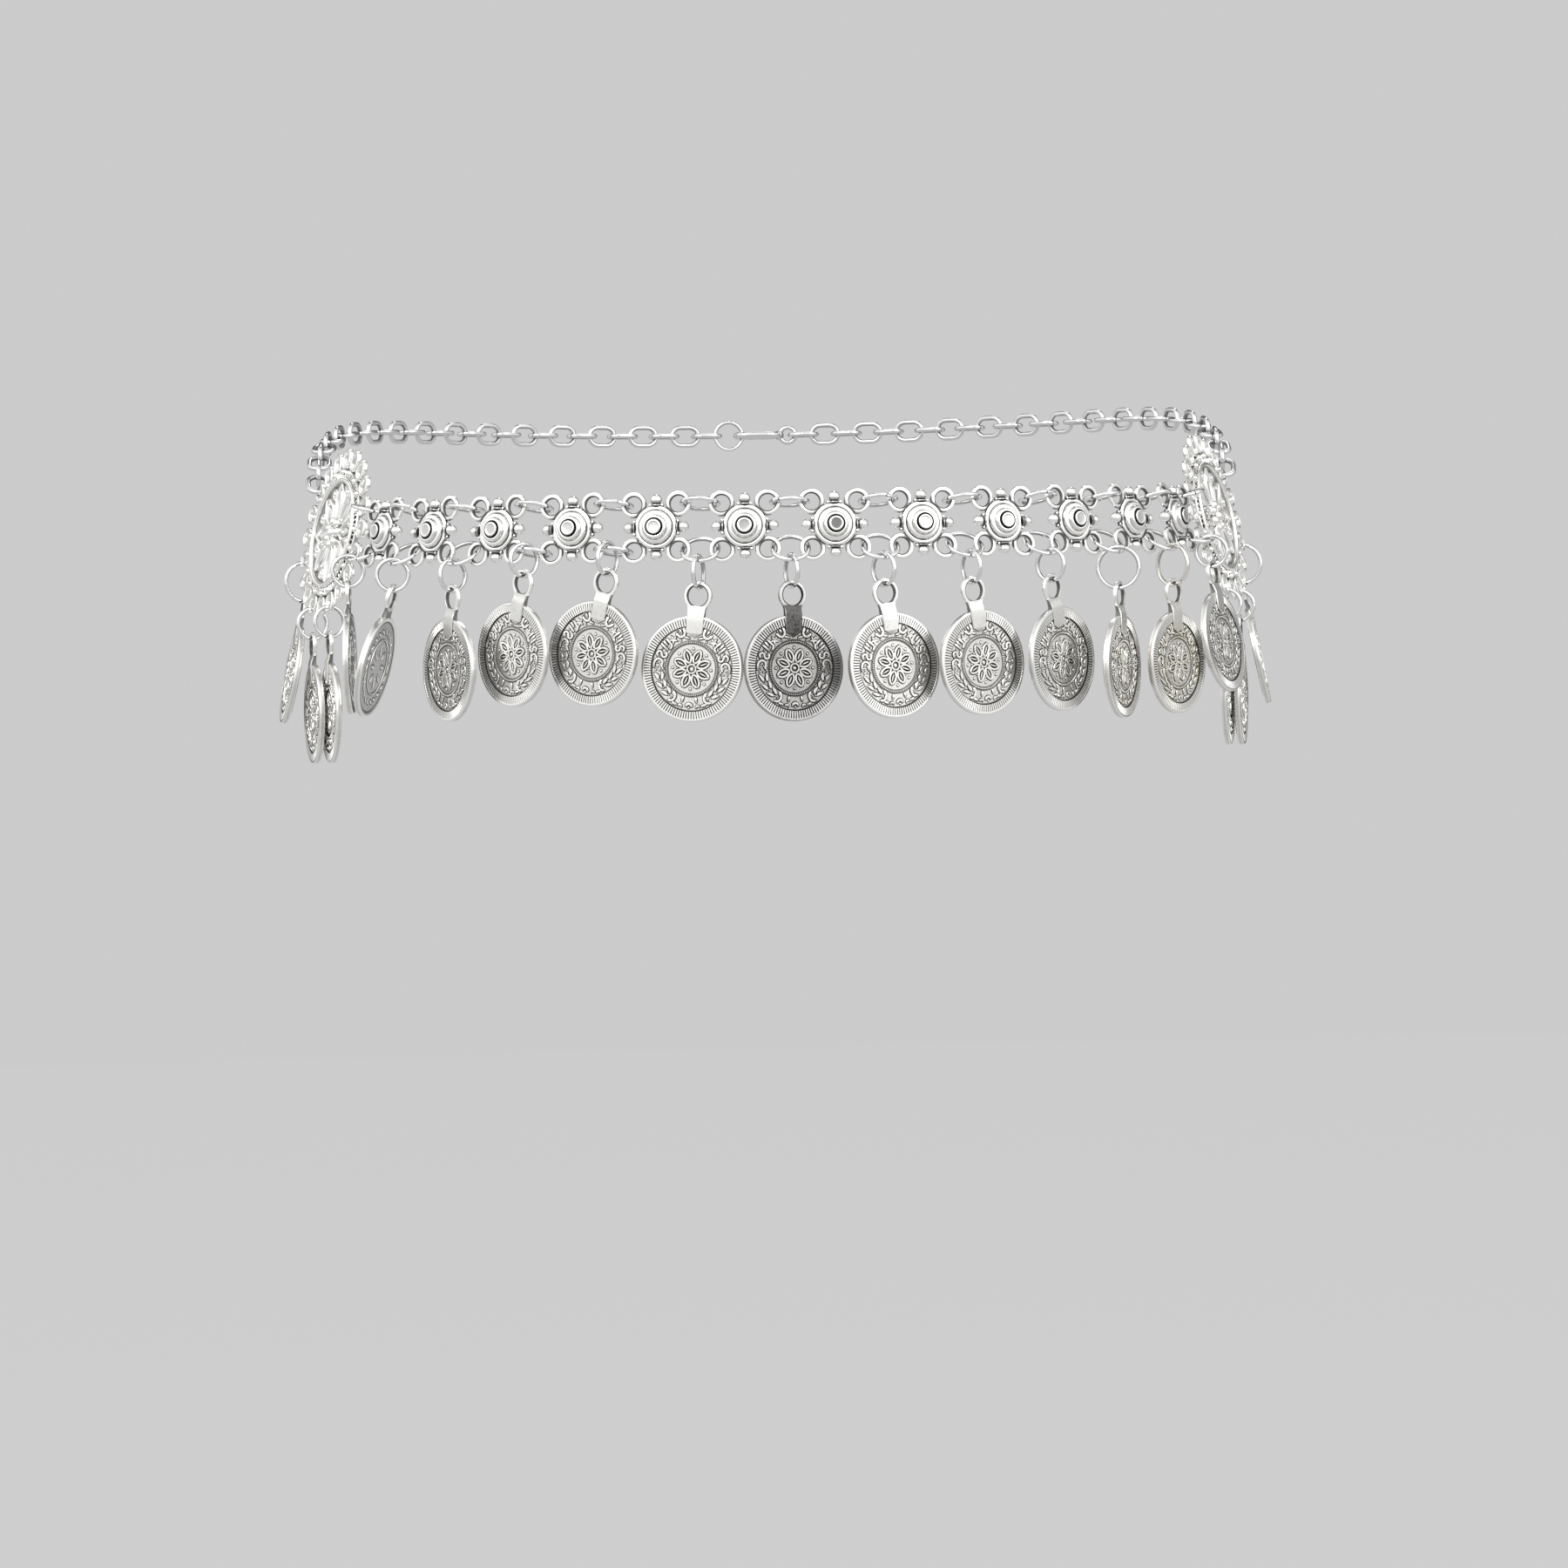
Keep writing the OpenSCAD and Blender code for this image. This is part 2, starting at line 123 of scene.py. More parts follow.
CHAIN_L = 7
CHAIN_W = 5
CHAIN_WIRE = 1
CHAIN_TOP = 30  # how high the chain lies at the back
RISE_FADE = 14  # degrees in which the climb that is left falls to about a third

print("length of the loop:", round(2 * math.pi * LOOP_R), "mm")

# %% [markdown]
# ## How the rings and coins hang
#
# No two coins hang the same way. This table says how each one lies, from left to
# right in front: how far the upper and lower join rings tip, which ring carries the
# coin and how far it is turned, and then the coin's turn, swing and tilt in degrees.
# The short table does the same for the coins below a medallion, and says from which
# rim loop each one hangs, as an angle from the front with straight down at -90. A random
# spread would be quicker to write, but it would not look like the real piece, where
# each coin has settled in its own way.

# %% How each gap's rings and coin lie
GAPS = [
    {"upper": -10, "lower": 22, "ring": SMALL_RING_R, "turn": -14, "coin": (-24, 2, 0)},
    {"upper": -16, "lower": 35, "ring": SMALL_RING_R, "turn": -40, "coin": (-52, 0, -15)},
    {"upper": -8, "lower": 38, "ring": SMALL_RING_R, "turn": -8, "coin": (-19, 8, 0)},
    {"upper": -14, "lower": -10, "ring": SMALL_RING_R, "turn": -24, "coin": (-18, 14, 0)},
    {"upper": -10, "lower": -10, "ring": SMALL_RING_R, "turn": -16, "coin": (-14, 14, 0)},
    {"upper": -15, "lower": 39, "ring": SMALL_RING_R, "turn": -10, "coin": (-9, 6, 0)},
    {"upper": -9, "lower": 41, "ring": SMALL_RING_R, "turn": 20, "coin": (21, 0, 0)},
    {"upper": -13, "lower": 41, "ring": SMALL_RING_R, "turn": 28, "coin": (19, -7, 0)},
    {"upper": -10, "lower": 40, "ring": SMALL_RING_R, "turn": 8, "coin": (14, -8, 0)},
    {"upper": -16, "lower": 39, "ring": SMALL_RING_R, "turn": 18, "coin": (17, -11, 0)},
    {"upper": -9, "lower": 38, "ring": LARGE_RING_R, "turn": 38, "coin": (24, -4, 0)},
    {"upper": -14, "lower": 35, "ring": LARGE_RING_R, "turn": -12, "coin": (0, -3, 0)},
    {"upper": -10, "lower": 10, "ring": SMALL_RING_R, "turn": 9, "coin": (-7, 0, -8)},
]
SIDE_COINS = [
    {"loop": -72, "ring": SMALL_RING_R, "turn": 11, "tilt": 0},
    {"loop": -108, "ring": SMALL_RING_R, "turn": 11, "tilt": 0},
    {"loop": -162, "ring": LARGE_RING_R, "turn": 14, "tilt": -11},
]
print("coins:", len(GAPS) + 2 * len(SIDE_COINS))

# %% [markdown]
# ## Setting a piece down on the loop
#
# A 4 by 4 matrix holds a turn and a shift together, and multiplying matrices chains
# them, the last one first. Empties with parents would do the same job, but here each
# mesh keeps its place in its own points, so the matrices are applied to the points.


# %% Turns, shifts and places on the loop
def turn(axis, degrees):
    """A turn about one axis, in degrees."""
    return Matrix.Rotation(math.radians(degrees), 4, axis)


def shift(x, y, z):
    """A move along the three axes."""
    return Matrix.Translation((x, y, z))


def turn_of(length):
    """The angle that a length along the loop takes up."""
    return math.degrees(length / LOOP_R)


def height_at(angle):
    """How high the loop lies at an angle from the front."""
    return BAND_RISE * (1 - math.cos(math.radians(angle))) / 2


def lean_at(angle):
    """How many degrees the band leans back at an angle from the front."""
    return LEAN_FRONT + LEAN_GAIN * (1 - math.cos(math.radians(angle)))


def on_loop(angle, turned=0):
    """A place on the loop, so many degrees from the front, leaning with the band."""
    lean = turn("X", -lean_at(angle))
    return turn("Z", angle) @ shift(0, -LOOP_R, height_at(angle)) @ turn("Z", turned) @ lean


FACE_FRONT = turn("X", 90)
FLIP = Matrix.Scale(-1, 4, (1, 0, 0))


def on_side(side, matrix):
    """The same place on the right side of the loop, or on the left one."""
    return matrix if side > 0 else FLIP @ matrix @ FLIP


LINK_STEP = turn_of(LINK_PITCH)
MEDALLION_A = (LINK_COUNT - 1) / 2 * LINK_STEP + turn_of(MEDALLION_PITCH)
print("turn from the front to a medallion:", round(MEDALLION_A, 1), "degrees")

# %% [markdown]
# ## Where the rings go
#
# Each pair of neighbours is joined by two wire rings, an upper and a lower one. A ring
# sits halfway between the two holes that it passes through, so its place is worked out
# from those holes. The coin's ring hangs on the front of the lower join ring, and the
# coin hangs on the lowest point of its own ring. Working down the line like this keeps
# everything hooked together whatever the sizes are.


# %% Places of the holes, rings and coins
def link_angle(i):
    """The angle of link i. The links are counted from the left."""
    return (i - (LINK_COUNT + 1) / 2) * LINK_STEP


def link_hole(i, side, up):
    """The middle of the hole in one corner ring of link i."""
    return on_loop(link_angle(i)) @ Vector((side * CORNER_X, 0, up * CORNER_Z))


def medallion_point(side, out, up):
    """A point in a medallion's plane: out is towards the front, up is up."""
    point = on_loop(MEDALLION_A, MEDALLION_TURN) @ Vector((-out, 0, up))
    return Vector((side * point.x, point.y, point.z))


def medallion_hole(side, up):
    """The middle of the rim loop that a join ring passes through."""
    step = math.radians(360 / RIM_LOOPS)
    return medallion_point(side, RIM_LOOP_AT * math.cos(step), up * RIM_LOOP_AT * math.sin(step))


def join_place(gap, up, tip):
    """A join ring's place across a gap, and the way that the gap faces."""
    left = medallion_hole(-1, up) if gap == 0 else link_hole(gap, 1, up)
    right = medallion_hole(1, up) if gap == LINK_COUNT else link_hole(gap + 1, -1, up)
    way = right - left
    yaw = math.degrees(math.atan2(way.y, way.x))
    rise = math.degrees(math.atan2(way.z, math.hypot(way.x, way.y)))
    middle = Matrix.Translation((left + right) / 2)
    return middle @ turn("Z", yaw) @ turn("Y", -rise) @ turn("X", tip), yaw


def hung_on(point, ring_r, hang, yaw):
    """An upright ring whose wire hangs on a point, a little below it."""
    middle = point + Vector((0, 0, hang - ring_r))
    return Matrix.Translation(middle) @ turn("Z", yaw) @ turn("Y", 90)


def coin_place(ring_place, ring_r, yaw, swing, tilt):
    """A coin hung by its bail from the lowest point of its ring."""
    low = ring_place.translation - Vector((0, 0, ring_r))
    hang = turn("Z", yaw) @ turn("Y", swing) @ turn("X", tilt)
    return Matrix.Translation(low) @ hang @ shift(0, 0, BAIL_HANG - BAIL_R - BAIL_DROP) @ FACE_FRONT


upper_places, lower_places, coin_ring_places, coin_places = [], [], [], []
for gap, how in enumerate(GAPS):
    upper_places.append(join_place(gap, 1, how["upper"])[0])
    lower, yaw = join_place(gap, -1, how["lower"])
    lower_places.append(lower)
    front_wire = lower @ Vector((0, -JOIN_R, 0))
    ring = hung_on(front_wire, how["ring"], RING_HANG, yaw + how["turn"])
    coin_ring_places.append(ring)
    coin_turn, swing, tilt = how["coin"]
    coin_places.append(coin_place(ring, how["ring"], yaw + coin_turn, swing, tilt))
print("places worked out for", len(coin_places), "gaps")

# %% [markdown]
# ## A small kit for shapes
#
# A shape here is three things: points, faces that name the points by number, and a
# darkness from 0 to 1 for each point. The darkness is mostly for tarnish. Old silver is
# polished on what stands proud and stays black in what lies deep. A renderer can guess
# that from the curvature, but writing it on the points gives full control and costs
# nothing, because each profile below already knows which of its points are deep. On
# the inner side of bent wire, and where the corner rings meet the dome and the balls,
# the darkness is painted shade instead.


# %% Joining and moving shapes
def joined(shapes):
    """Many shapes as one. The faces of each are renumbered to follow the ones before."""
    points, faces, dark, start = [], [], [], 0
    for shape_points, shape_faces, shape_dark in shapes:
        points.append(shape_points)
        faces += [tuple(start + k for k in face) for face in shape_faces]
        dark.append(shape_dark)
        start += len(shape_points)
    return np.vstack(points), faces, np.concatenate(dark)


def moved(shape, matrix):
    """The same shape, with a matrix applied to its points."""
    m = np.array(matrix)
    return shape[0] @ m[:3, :3].T + m[:3, 3], shape[1], shape[2]


def strips(rows, width, round_rows=False, round_width=True):
    """Quads that join each row of points to the next one."""
    faces = []
    for r in range(rows if round_rows else rows - 1):
        for k in range(width if round_width else width - 1):
            here, there = r * width, (r + 1) % rows * width
            beside = (k + 1) % width
            faces.append((here + k, here + beside, there + beside, there + k))
    return faces


print("faces between two rows of eight points:", len(strips(2, 8)))

# %% [markdown]
# ### Turned shapes
#
# A dome, a ball or a coin's rim is a turned shape: an outline spun round an axis. The
# Screw modifier does this too, but then the darkness could not be given point by point.
# The outline runs from the bottom out, up and in again, so that the faces look outward.


# %% Spin an outline round Z
def lathe(outline, count, bottom=True, ring=False):
    """outline holds (radius, height, darkness) from the bottom to the top.

    For a ring the outline is a closed loop, and there is no bottom or top to fill.
    """
    angles = np.linspace(0, 2 * math.pi, count, endpoint=False)
    radius, height, dark = np.array(outline, float).T
    points = np.stack([
        np.outer(radius, np.cos(angles)),
        np.outer(radius, np.sin(angles)),
        np.repeat(height[:, None], count, axis=1),
    ], axis=-1).reshape(-1, 3)
    faces = strips(len(outline), count, round_rows=ring)
    last = (len(outline) - 1) * count
    if bottom and not ring:
        faces.append(tuple(range(count - 1, -1, -1)))
    if not ring:
        faces.append(tuple(range(last, last + count)))
    return points, faces, np.repeat(dark, count)


cone = lathe([(1.0, 0.0, 0.0), (0.1, 1.0, 0.0)], 12)
print("faces of a turned cone with twelve sides:", len(cone[1]))

# %% [markdown]
# ### Bent wire
#
# Jump rings, chain links and the loops of a medallion are bent wire. A curve with a
# bevel gives the same form. Sweeping a circle along the points of a path does it in
# one step. It also knows which side of the wire is the inner one, and that side of a
# ring or a chain link is darkened with painted shade.

# %% Sweep a round wire along a flat path
INNER_SIDE = 0.6


def wire(path, thickness, sides=8, closed=True, shade_painted_inside=0.0):
    """A wire that turns to the left along its path, with painted shade on the inner side of the bend.
    """
    path = np.asarray(path, float)
    if closed:
        along = np.roll(path, -1, axis=0) - np.roll(path, 1, axis=0)
    else:
        along = np.gradient(path, axis=0)
    along /= np.linalg.norm(along, axis=1)[:, None]
    up = np.tile([0.0, 0.0, 1.0], (len(path), 1))
    side = np.cross(up, along)
    side /= np.linalg.norm(side, axis=1)[:, None]
    angles = np.linspace(0, 2 * math.pi, sides, endpoint=False)
    across, over = np.cos(angles)[:, None], np.sin(angles)[:, None]
    ring = side[:, None] * across + up[:, None] * over
    points = (path[:, None] + ring * thickness / 2).reshape(-1, 3)
    faces = strips(len(path), sides, round_rows=closed)
    if not closed:
        last = (len(path) - 1) * sides
        faces.append(tuple(range(sides - 1, -1, -1)))
        faces.append(tuple(range(last, last + sides)))
    # Painted shade on the inner side of the bend.
    shades = np.where(np.cos(angles) > INNER_SIDE, shade_painted_inside, 0.0)
    return points, faces, np.tile(shades, len(path))


def circle_path(radius, count, start=0.0, sweep=360.0, rise=0.0):
    """Points on a circle, or on a part of one that rises evenly from end to end."""
    whole = abs(sweep) == 360
    share = np.linspace(0, 1, count, endpoint=not whole)
    angles = np.radians(start + share * sweep)
    height = rise * (share - 0.5)
    return np.stack([radius * np.cos(angles), radius * np.sin(angles), height], axis=1)


def oval_path(straight, radius, count):
    """Two half circles joined by straight stretches, along X."""
    right = circle_path(radius, count, -90, 180) + [straight / 2, 0, 0]
    left = circle_path(radius, count, 90, 180) - [straight / 2, 0, 0]
    return np.vstack([right, left])


print("points in a bent wire:", len(wire(circle_path(SMALL_RING_R, 12), RING_WIRE)[0]))

# %% [markdown]
# ### Struck relief
#
# A coin's figures are raised lines with dark edges. Sculpting or a displacement map
# would need a very fine mesh all over the coin. Instead each line is its own strip: a
# rounded ridge whose feet are black, with a narrow skirt that fades into the field.
# That is how an antique finish looks, because the black is only left along the foot of
# the relief when the coin is rubbed down.

# %% Across a raised line
SKIRT = 0.17
BLACK_FOOT = 0.12
EDGE_Z = -0.004
FOOT_Z = 0.02
FIELD_DARK = 0.2
RIDGE = [  # share of the half width, share of the height, darkness
    (-1.0, 0.0, 1.0),
    (-0.92, 0.68, 0.1),
    (-0.68, 1.0, 0.0),
    (0.68, 1.0, 0.0),
    (0.92, 0.68, 0.1),
    (1.0, 0.0, 1.0),
]


def across_ridge(half, height, kind):
    """One row of a raised line: offset from its middle, level and darkness."""
    over = [(share * half, FOOT_Z + up * height, dark) for share, up, dark in RIDGE]
    if kind != "ridge":
        level, shade = (FOOT_Z, 1.0) if kind == "foot" else (EDGE_Z, FIELD_DARK)
        over = [(offset, level, shade) for offset, _, _ in over]
    foot_level, foot_dark = (EDGE_Z, FIELD_DARK) if kind == "edge" else (FOOT_Z, 1.0)
    left = [(-half - SKIRT, EDGE_Z, FIELD_DARK), (-half - BLACK_FOOT, foot_level, foot_dark)]
    return left + over + [(-offset, level, dark) for offset, level, dark in reversed(left)]


print("points across a raised line:", len(across_ridge(0.25, 0.2, "ridge")))

# %% [markdown]
# The rows across a line are set one after the other along its path. A line that isn't
# closed gets three more rows at each end, which bring it down to the field and round
# it off. Without them it would end like a cut plank.


# %% Along a raised line
def rounded_end(end, way, wide, height, facing):
    """Three rows that run out over the end of a raised line."""
    return [
        (end + way * 0.43 * wide, facing, 0.22 * wide, height * 0.5, "ridge"),
        (end + way * (0.45 * wide + BLACK_FOOT), facing, 0.2 * wide, 0, "foot"),
        (end + way * (0.45 * wide + SKIRT), facing, 0.1 * wide, 0, "edge"),
    ]


def ridge(path, width, height, closed=False):
    """A raised line on the plane z = 0. width is one number, or one for each point."""
    path = np.asarray(path, float)
    width = np.broadcast_to(np.asarray(width, float), len(path))
    if closed:
        along = np.roll(path, -1, axis=0) - np.roll(path, 1, axis=0)
    else:
        along = np.gradient(path, axis=0)
    along /= np.linalg.norm(along, axis=1)[:, None]
    rows = [(point, way, wide / 2, height, "ridge") for point, way, wide in zip(path, along, width)]
    if not closed:
        before = rounded_end(path[0], -along[0], width[0], height, along[0])
        after = rounded_end(path[-1], along[-1], width[-1], height, along[-1])
        rows = before[::-1] + rows + after
    points, dark = [], []
    for middle, way, half, high, kind in rows:
        side = np.array([way[1], -way[0]])
        section = across_ridge(half, high, kind)
        for offset, level, shade in section:
            points.append([*(middle + side * offset), level])
            dark.append(shade)
    return np.array(points), strips(len(rows), len(section), closed, False), np.array(dark)


print("faces in a short straight line:", len(ridge([(0, 0), (1, 0)], 0.5, 0.2)[1]))

# %% [markdown]
# Leaves, beads and arcs come back on every face of the coin, so they are made here once.
# A leaf is a raised line that swells. A bead is turned, with the same black foot.


# %% Leaves, beads, arcs and rounds
def leaf_ridge(length, width, height, bend=0.0):
    """A leaf along X that swells in the middle."""
    share = np.array([-0.5, -0.22, 0.1, 0.5])
    path = np.stack([share * (length - 0.3), bend * (0.25 - share**2) * 4], axis=1)
    return ridge(path, width * np.array([0.42, 0.95, 0.95, 0.32]), height)


def bead(x, y, radius, height, count=8):
    """A low dome on the plane z = 0."""
    outline = [
        (radius + 0.15, EDGE_Z, FIELD_DARK),
        (radius + 0.05, FOOT_Z, 1.0),
        (radius * 0.9, height * 0.6, 0.3),
        (radius * 0.58, height, 0.0),
    ]
    return moved(lathe(outline, count, bottom=False), shift(x, y, 0))


def arc(x, y, radius, start, sweep, count=7):
    """Points on an arc round (x, y), in the plane."""
    return circle_path(radius, count, start, sweep)[:, :2] + [x, y]


def round_and_round(make, count, first=0.0):
    """Copies of a shape, spread evenly round Z."""
    return [moved(make, turn("Z", first + k * 360 / count)) for k in range(count)]


print("points in a leaf:", len(leaf_ridge(2.0, 0.75, 0.2)[0]))

# %% [markdown]
# ### From a shape to a piece
#
# This is the one place where millimetres become metres. The mesh gets smooth shading
# with sharp edges kept where faces meet at more than 38 degrees, its darkness as a
# point attribute that the material reads, and the name of the solids it stands for.

# %% Make a Blender mesh that stands for CAD nodes
SHARP = math.radians(38)
triangles = {}


def piece(name, shape, material, nodes, brass=0.0):
    """A mesh in metres that stands for CAD nodes."""
    points, faces, dark = shape
    mesh = bpy.data.meshes.new(name)
    mesh.from_pydata((points * MM).tolist(), [], faces)
    mesh.shade_smooth()
    mesh.set_sharp_from_angle(angle=SHARP)
    for attribute, values in (("tarnish", dark), ("brass", brass)):
        values = np.broadcast_to(np.asarray(values, np.float32), len(points))
        layer = mesh.attributes.new(attribute, "FLOAT", "POINT")
        layer.data.foreach_set("value", np.ascontiguousarray(values, np.float32))
    mesh.materials.append(material)
    made = bpy.data.objects.new(name, mesh)
    bpy.context.scene.collection.objects.link(made)
    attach(made, "root")
    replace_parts(made, *nodes)
    triangles[name] = sum(len(face) - 2 for face in faces)


print("edges stay sharp from", round(math.degrees(SHARP)), "degrees")

# %% [markdown]
# ## Silver
#
# Bright silver, its black tarnish and the rubbed grey between them are one metal with
# a changing surface, so a few functions make every finish. They work with nodes, which
# are boxes that hand numbers and colours on to each other. Dragging them about in the
# shader editor does the same, but each finish would then be built again by hand.

# %% Three helpers for nodes
def add_node(tree, kind, **values):
    """A new node, with its own settings and the plain values of its inputs."""
    made = tree.nodes.new(kind)
    for key, value in values.items():
        if hasattr(made, key):
            setattr(made, key, value)
        else:
            made.inputs[key.replace("_", " ").title()].default_value = value
    return made


def calc(tree, operation, a, b, clamp=False):
    """One sum, where a and b are numbers or the outputs of other nodes."""
    made = add_node(tree, "ShaderNodeMath", operation=operation, use_clamp=clamp)
    for socket, value in zip(made.inputs, (a, b)):
        if isinstance(value, (int, float)):
            socket.default_value = value
        else:
            tree.links.new(value, socket)
    return made.outputs[0]


def ramp(tree, value, stops, blend="LINEAR"):
    """The colour read off a row of stops, each of them a position and a colour."""
    made = add_node(tree, "ShaderNodeValToRGB")
    made.color_ramp.interpolation = blend
    elements = made.color_ramp.elements
    for k, (position, colour) in enumerate(stops):
        stop = elements[k] if k < 2 else elements.new(position)
        stop.position = position
        stop.color = (*colour, 1)
    tree.links.new(value, made.inputs[0])
    return made.outputs["Color"]


print("helpers for nodes:", [helper.__name__ for helper in (add_node, calc, ramp)])

# %% [markdown]
# ### Tarnish and painted shade
#
# The darkness from the points alone would look drawn on. Two noises break it up, a
# coarse one for stains and a fine one for pits. A painted picture could hold the same,
# but would not stay sharp on the smallest beads.

# %% Tarnish and painted shade, broken up by stains and pits
STAIN_SCALE = 260.0
PIT_SCALE = 2600.0


def stains_and_pits(tree, mottle, shade):
    """The coarse noise, the fine noise, and the tarnish and painted shade with both of them in it."""
    place = add_node(tree, "ShaderNodeTexCoord").outputs["Object"]
    patches = add_node(tree, "ShaderNodeTexNoise", Scale=STAIN_SCALE, Detail=5.0, Roughness=0.62)
    pits = add_node(tree, "ShaderNodeTexNoise", Scale=PIT_SCALE, Detail=3.0, Roughness=0.6)
    for noise in (patches, pits):
        tree.links.new(place, noise.inputs["Vector"])
    patches, pits = patches.outputs["Fac"], pits.outputs["Fac"]
    coarse = calc(tree, "MULTIPLY", calc(tree, "SUBTRACT", patches, 0.5), mottle * 2)
    fine = calc(tree, "MULTIPLY", calc(tree, "SUBTRACT", pits, 0.5), mottle * 2.2)
    mottled = calc(tree, "ADD", coarse, fine, clamp=True)
    tarnish = add_node(tree, "ShaderNodeAttribute", attribute_name="tarnish").outputs["Fac"]
    tarnish = calc(tree, "ADD", tarnish, mottled, clamp=True)
    return patches, pits, calc(tree, "ADD", tarnish, shade, clamp=True)


for scale, name in ((STAIN_SCALE, "stain"), (PIT_SCALE, "pit")):
    print("width of a", name, "in mm, about:", round(1 / scale / MM, 1))

# %% [markdown]
# The tarnish, with the painted shade in it, is turned into a colour by a ramp from bright
# silver through rubbed grey to black. Where the plating has worn through, brass shows,
# and it comes in patches: the coarse noise decides where.

# %% The metal's colour
POLISHED = 0.08
RUBBED = 0.42
BLACKENED = 0.95
BRIGHT_LEFT = 0.52
BRASS_TINT = (1.0, 0.88, 0.44)


def metal_colour(tree, bright, oxide, tarnish, patches):
    """Silver by its tarnish and painted shade, with brass in patches."""
    rubbed = [BRIGHT_LEFT * a + (1 - BRIGHT_LEFT) * b for a, b in zip(bright, oxide)]
    silvery = ramp(tree, tarnish, [(POLISHED, bright), (RUBBED, rubbed), (BLACKENED, oxide)])
    brass = add_node(tree, "ShaderNodeAttribute", attribute_name="brass").outputs["Fac"]
    patchy = add_node(tree, "ShaderNodeMapRange", From_Min=0.35, From_Max=0.62)
    tree.links.new(patches, patchy.inputs["Value"])
    warm = add_node(tree, "ShaderNodeMix", data_type="RGBA", blend_type="MULTIPLY")
    warm.inputs["B"].default_value = (*BRASS_TINT, 1)
    tree.links.new(calc(tree, "MULTIPLY", brass, patchy.outputs["Result"]), warm.inputs["Factor"])
    tree.links.new(silvery, warm.inputs["A"])
    return warm.outputs["Result"]


print("rubbed silver keeps", round(100 * BRIGHT_LEFT), "% of its brightness")

# %% [markdown]
# ### The finishes
#
# The tarnish and the painted shade read with it drive the roughness as well, since what
# is black is also dull, and the pits give a little relief. The links are polished most.
# The coins are struck and handled, so they are mottled, and one of them is dark all
# over. The wire is plain steel, which is a little greyer than silver.

# %% One metal, many finishes
DULL = 0.55
PIT_DEPTH = 0.00003


def silver(name, bright, oxide, *, polish, mottle, grain, shade=0.0):
    """bright and oxide are the two colours, polish the roughness where it is rubbed."""
    material = bpy.data.materials.new(name)
    material.use_nodes = True
    tree = material.node_tree
    tree.nodes.clear()
    patches, pits, tarnish = stains_and_pits(tree, mottle, shade)
    colour = metal_colour(tree, bright, oxide, tarnish, patches)
    rough = add_node(tree, "ShaderNodeMapRange", To_Min=polish, To_Max=DULL)
    bump = add_node(tree, "ShaderNodeBump", Strength=grain, Distance=PIT_DEPTH)
    shader = add_node(tree, "ShaderNodeBsdfPrincipled", Metallic=1.0)
    surface = add_node(tree, "ShaderNodeOutputMaterial")
    tree.links.new(tarnish, rough.inputs["Value"])
    tree.links.new(pits, bump.inputs["Height"])
    tree.links.new(colour, shader.inputs["Base Color"])
    tree.links.new(rough.outputs["Result"], shader.inputs["Roughness"])
    tree.links.new(bump.outputs["Normal"], shader.inputs["Normal"])
    tree.links.new(shader.outputs["BSDF"], surface.inputs["Surface"])
    return material


WHITE = (0.93, 0.925, 0.905)
BLACK = (0.035, 0.034, 0.033)
link_silver = silver("link_silver", WHITE, BLACK, polish=0.16, mottle=0.1, grain=0.12)
coin_silver = silver("coin_silver", WHITE, BLACK, polish=0.24, mottle=0.2, grain=0.3)
medallion_silver = silver("medallion_silver", WHITE, BLACK, polish=0.2, mottle=0.14, grain=0.2)

GREY = (0.62, 0.61, 0.60)
dark_coin_silver = silver(
    "dark_coin_silver", GREY, BLACK, polish=0.3, mottle=0.34, grain=0.3, shade=0.16
)

RING_GREY = (0.82, 0.82, 0.82)
RING_BLACK = (0.10, 0.10, 0.10)
wire_steel = silver("wire_steel", RING_GREY, RING_BLACK, polish=0.14, mottle=0.08, grain=0.08)

CHAIN_GREY = (0.72, 0.72, 0.73)
CHAIN_BLACK = (0.09, 0.09, 0.09)
chain_steel = silver("chain_steel", CHAIN_GREY, CHAIN_BLACK, polish=0.18, mottle=0.12, grain=0.1)
finishes = (link_silver, coin_silver, medallion_silver, dark_coin_silver, wire_steel, chain_steel)
print("finishes made:", len(finishes))

# %% [markdown]
# ## The links
#
# Each link is one small casting: a stepped dome on a round flange, four balls on short
# collars, and four rings at its corners. The dome is turned in one go. The dark lines
# round its steps are narrow grooves, cut into the outline and marked as deep, since a
# line painted on a flat top would vanish from the side. The middle of the button is
# darker on some links than on others.

# %% The dome's outline: radius, height, darkness
DOME = [
    (0.5, -0.12, 0.5),
    (2.5, -0.12, 0.6),
    (2.9, -0.38, 0.3),
    (3.95, -0.4, 0.2),
    (4.1, -0.3, 0.6),
    (4.15, 0.2, 0.25),
    (4.07, 0.4, 0.0),
    (3.88, 0.51, 0.0),
    (3.6, 0.55, 0.0),
    (3.4, 0.54, 0.05),
    (3.33, 0.49, 0.95),
    (3.26, 0.49, 1.0),
    (3.22, 0.62, 0.35),
    (3.16, 0.94, 0.0),
    (3.02, 1.09, 0.0),
    (2.78, 1.16, 0.0),
    (2.54, 1.18, 0.0),
    (2.45, 1.2, 0.35),
    (2.37, 1.45, 0.22),
    (2.22, 1.72, 0.14),
    (2.05, 1.87, 0.0),
    (1.9, 1.91, 0.0),
    (1.74, 1.89, 0.0),
    (1.69, 1.8, 0.95),
    (1.67, 1.5, 1.0),
    (1.42, 1.48, 1.0),
    (1.4, 1.95, 0.9),
    (1.36, 2.18, 0.15),
    (1.25, 2.26, 0.0),
]


def button_top(middle_dark):
    """The top of the dome's button."""
    middle = [(radius, 2.2, middle_dark) for radius in (0.85, 0.25)]
    return [(1.06, 2.26, 0.0), (0.98, 2.22, middle_dark), *middle]


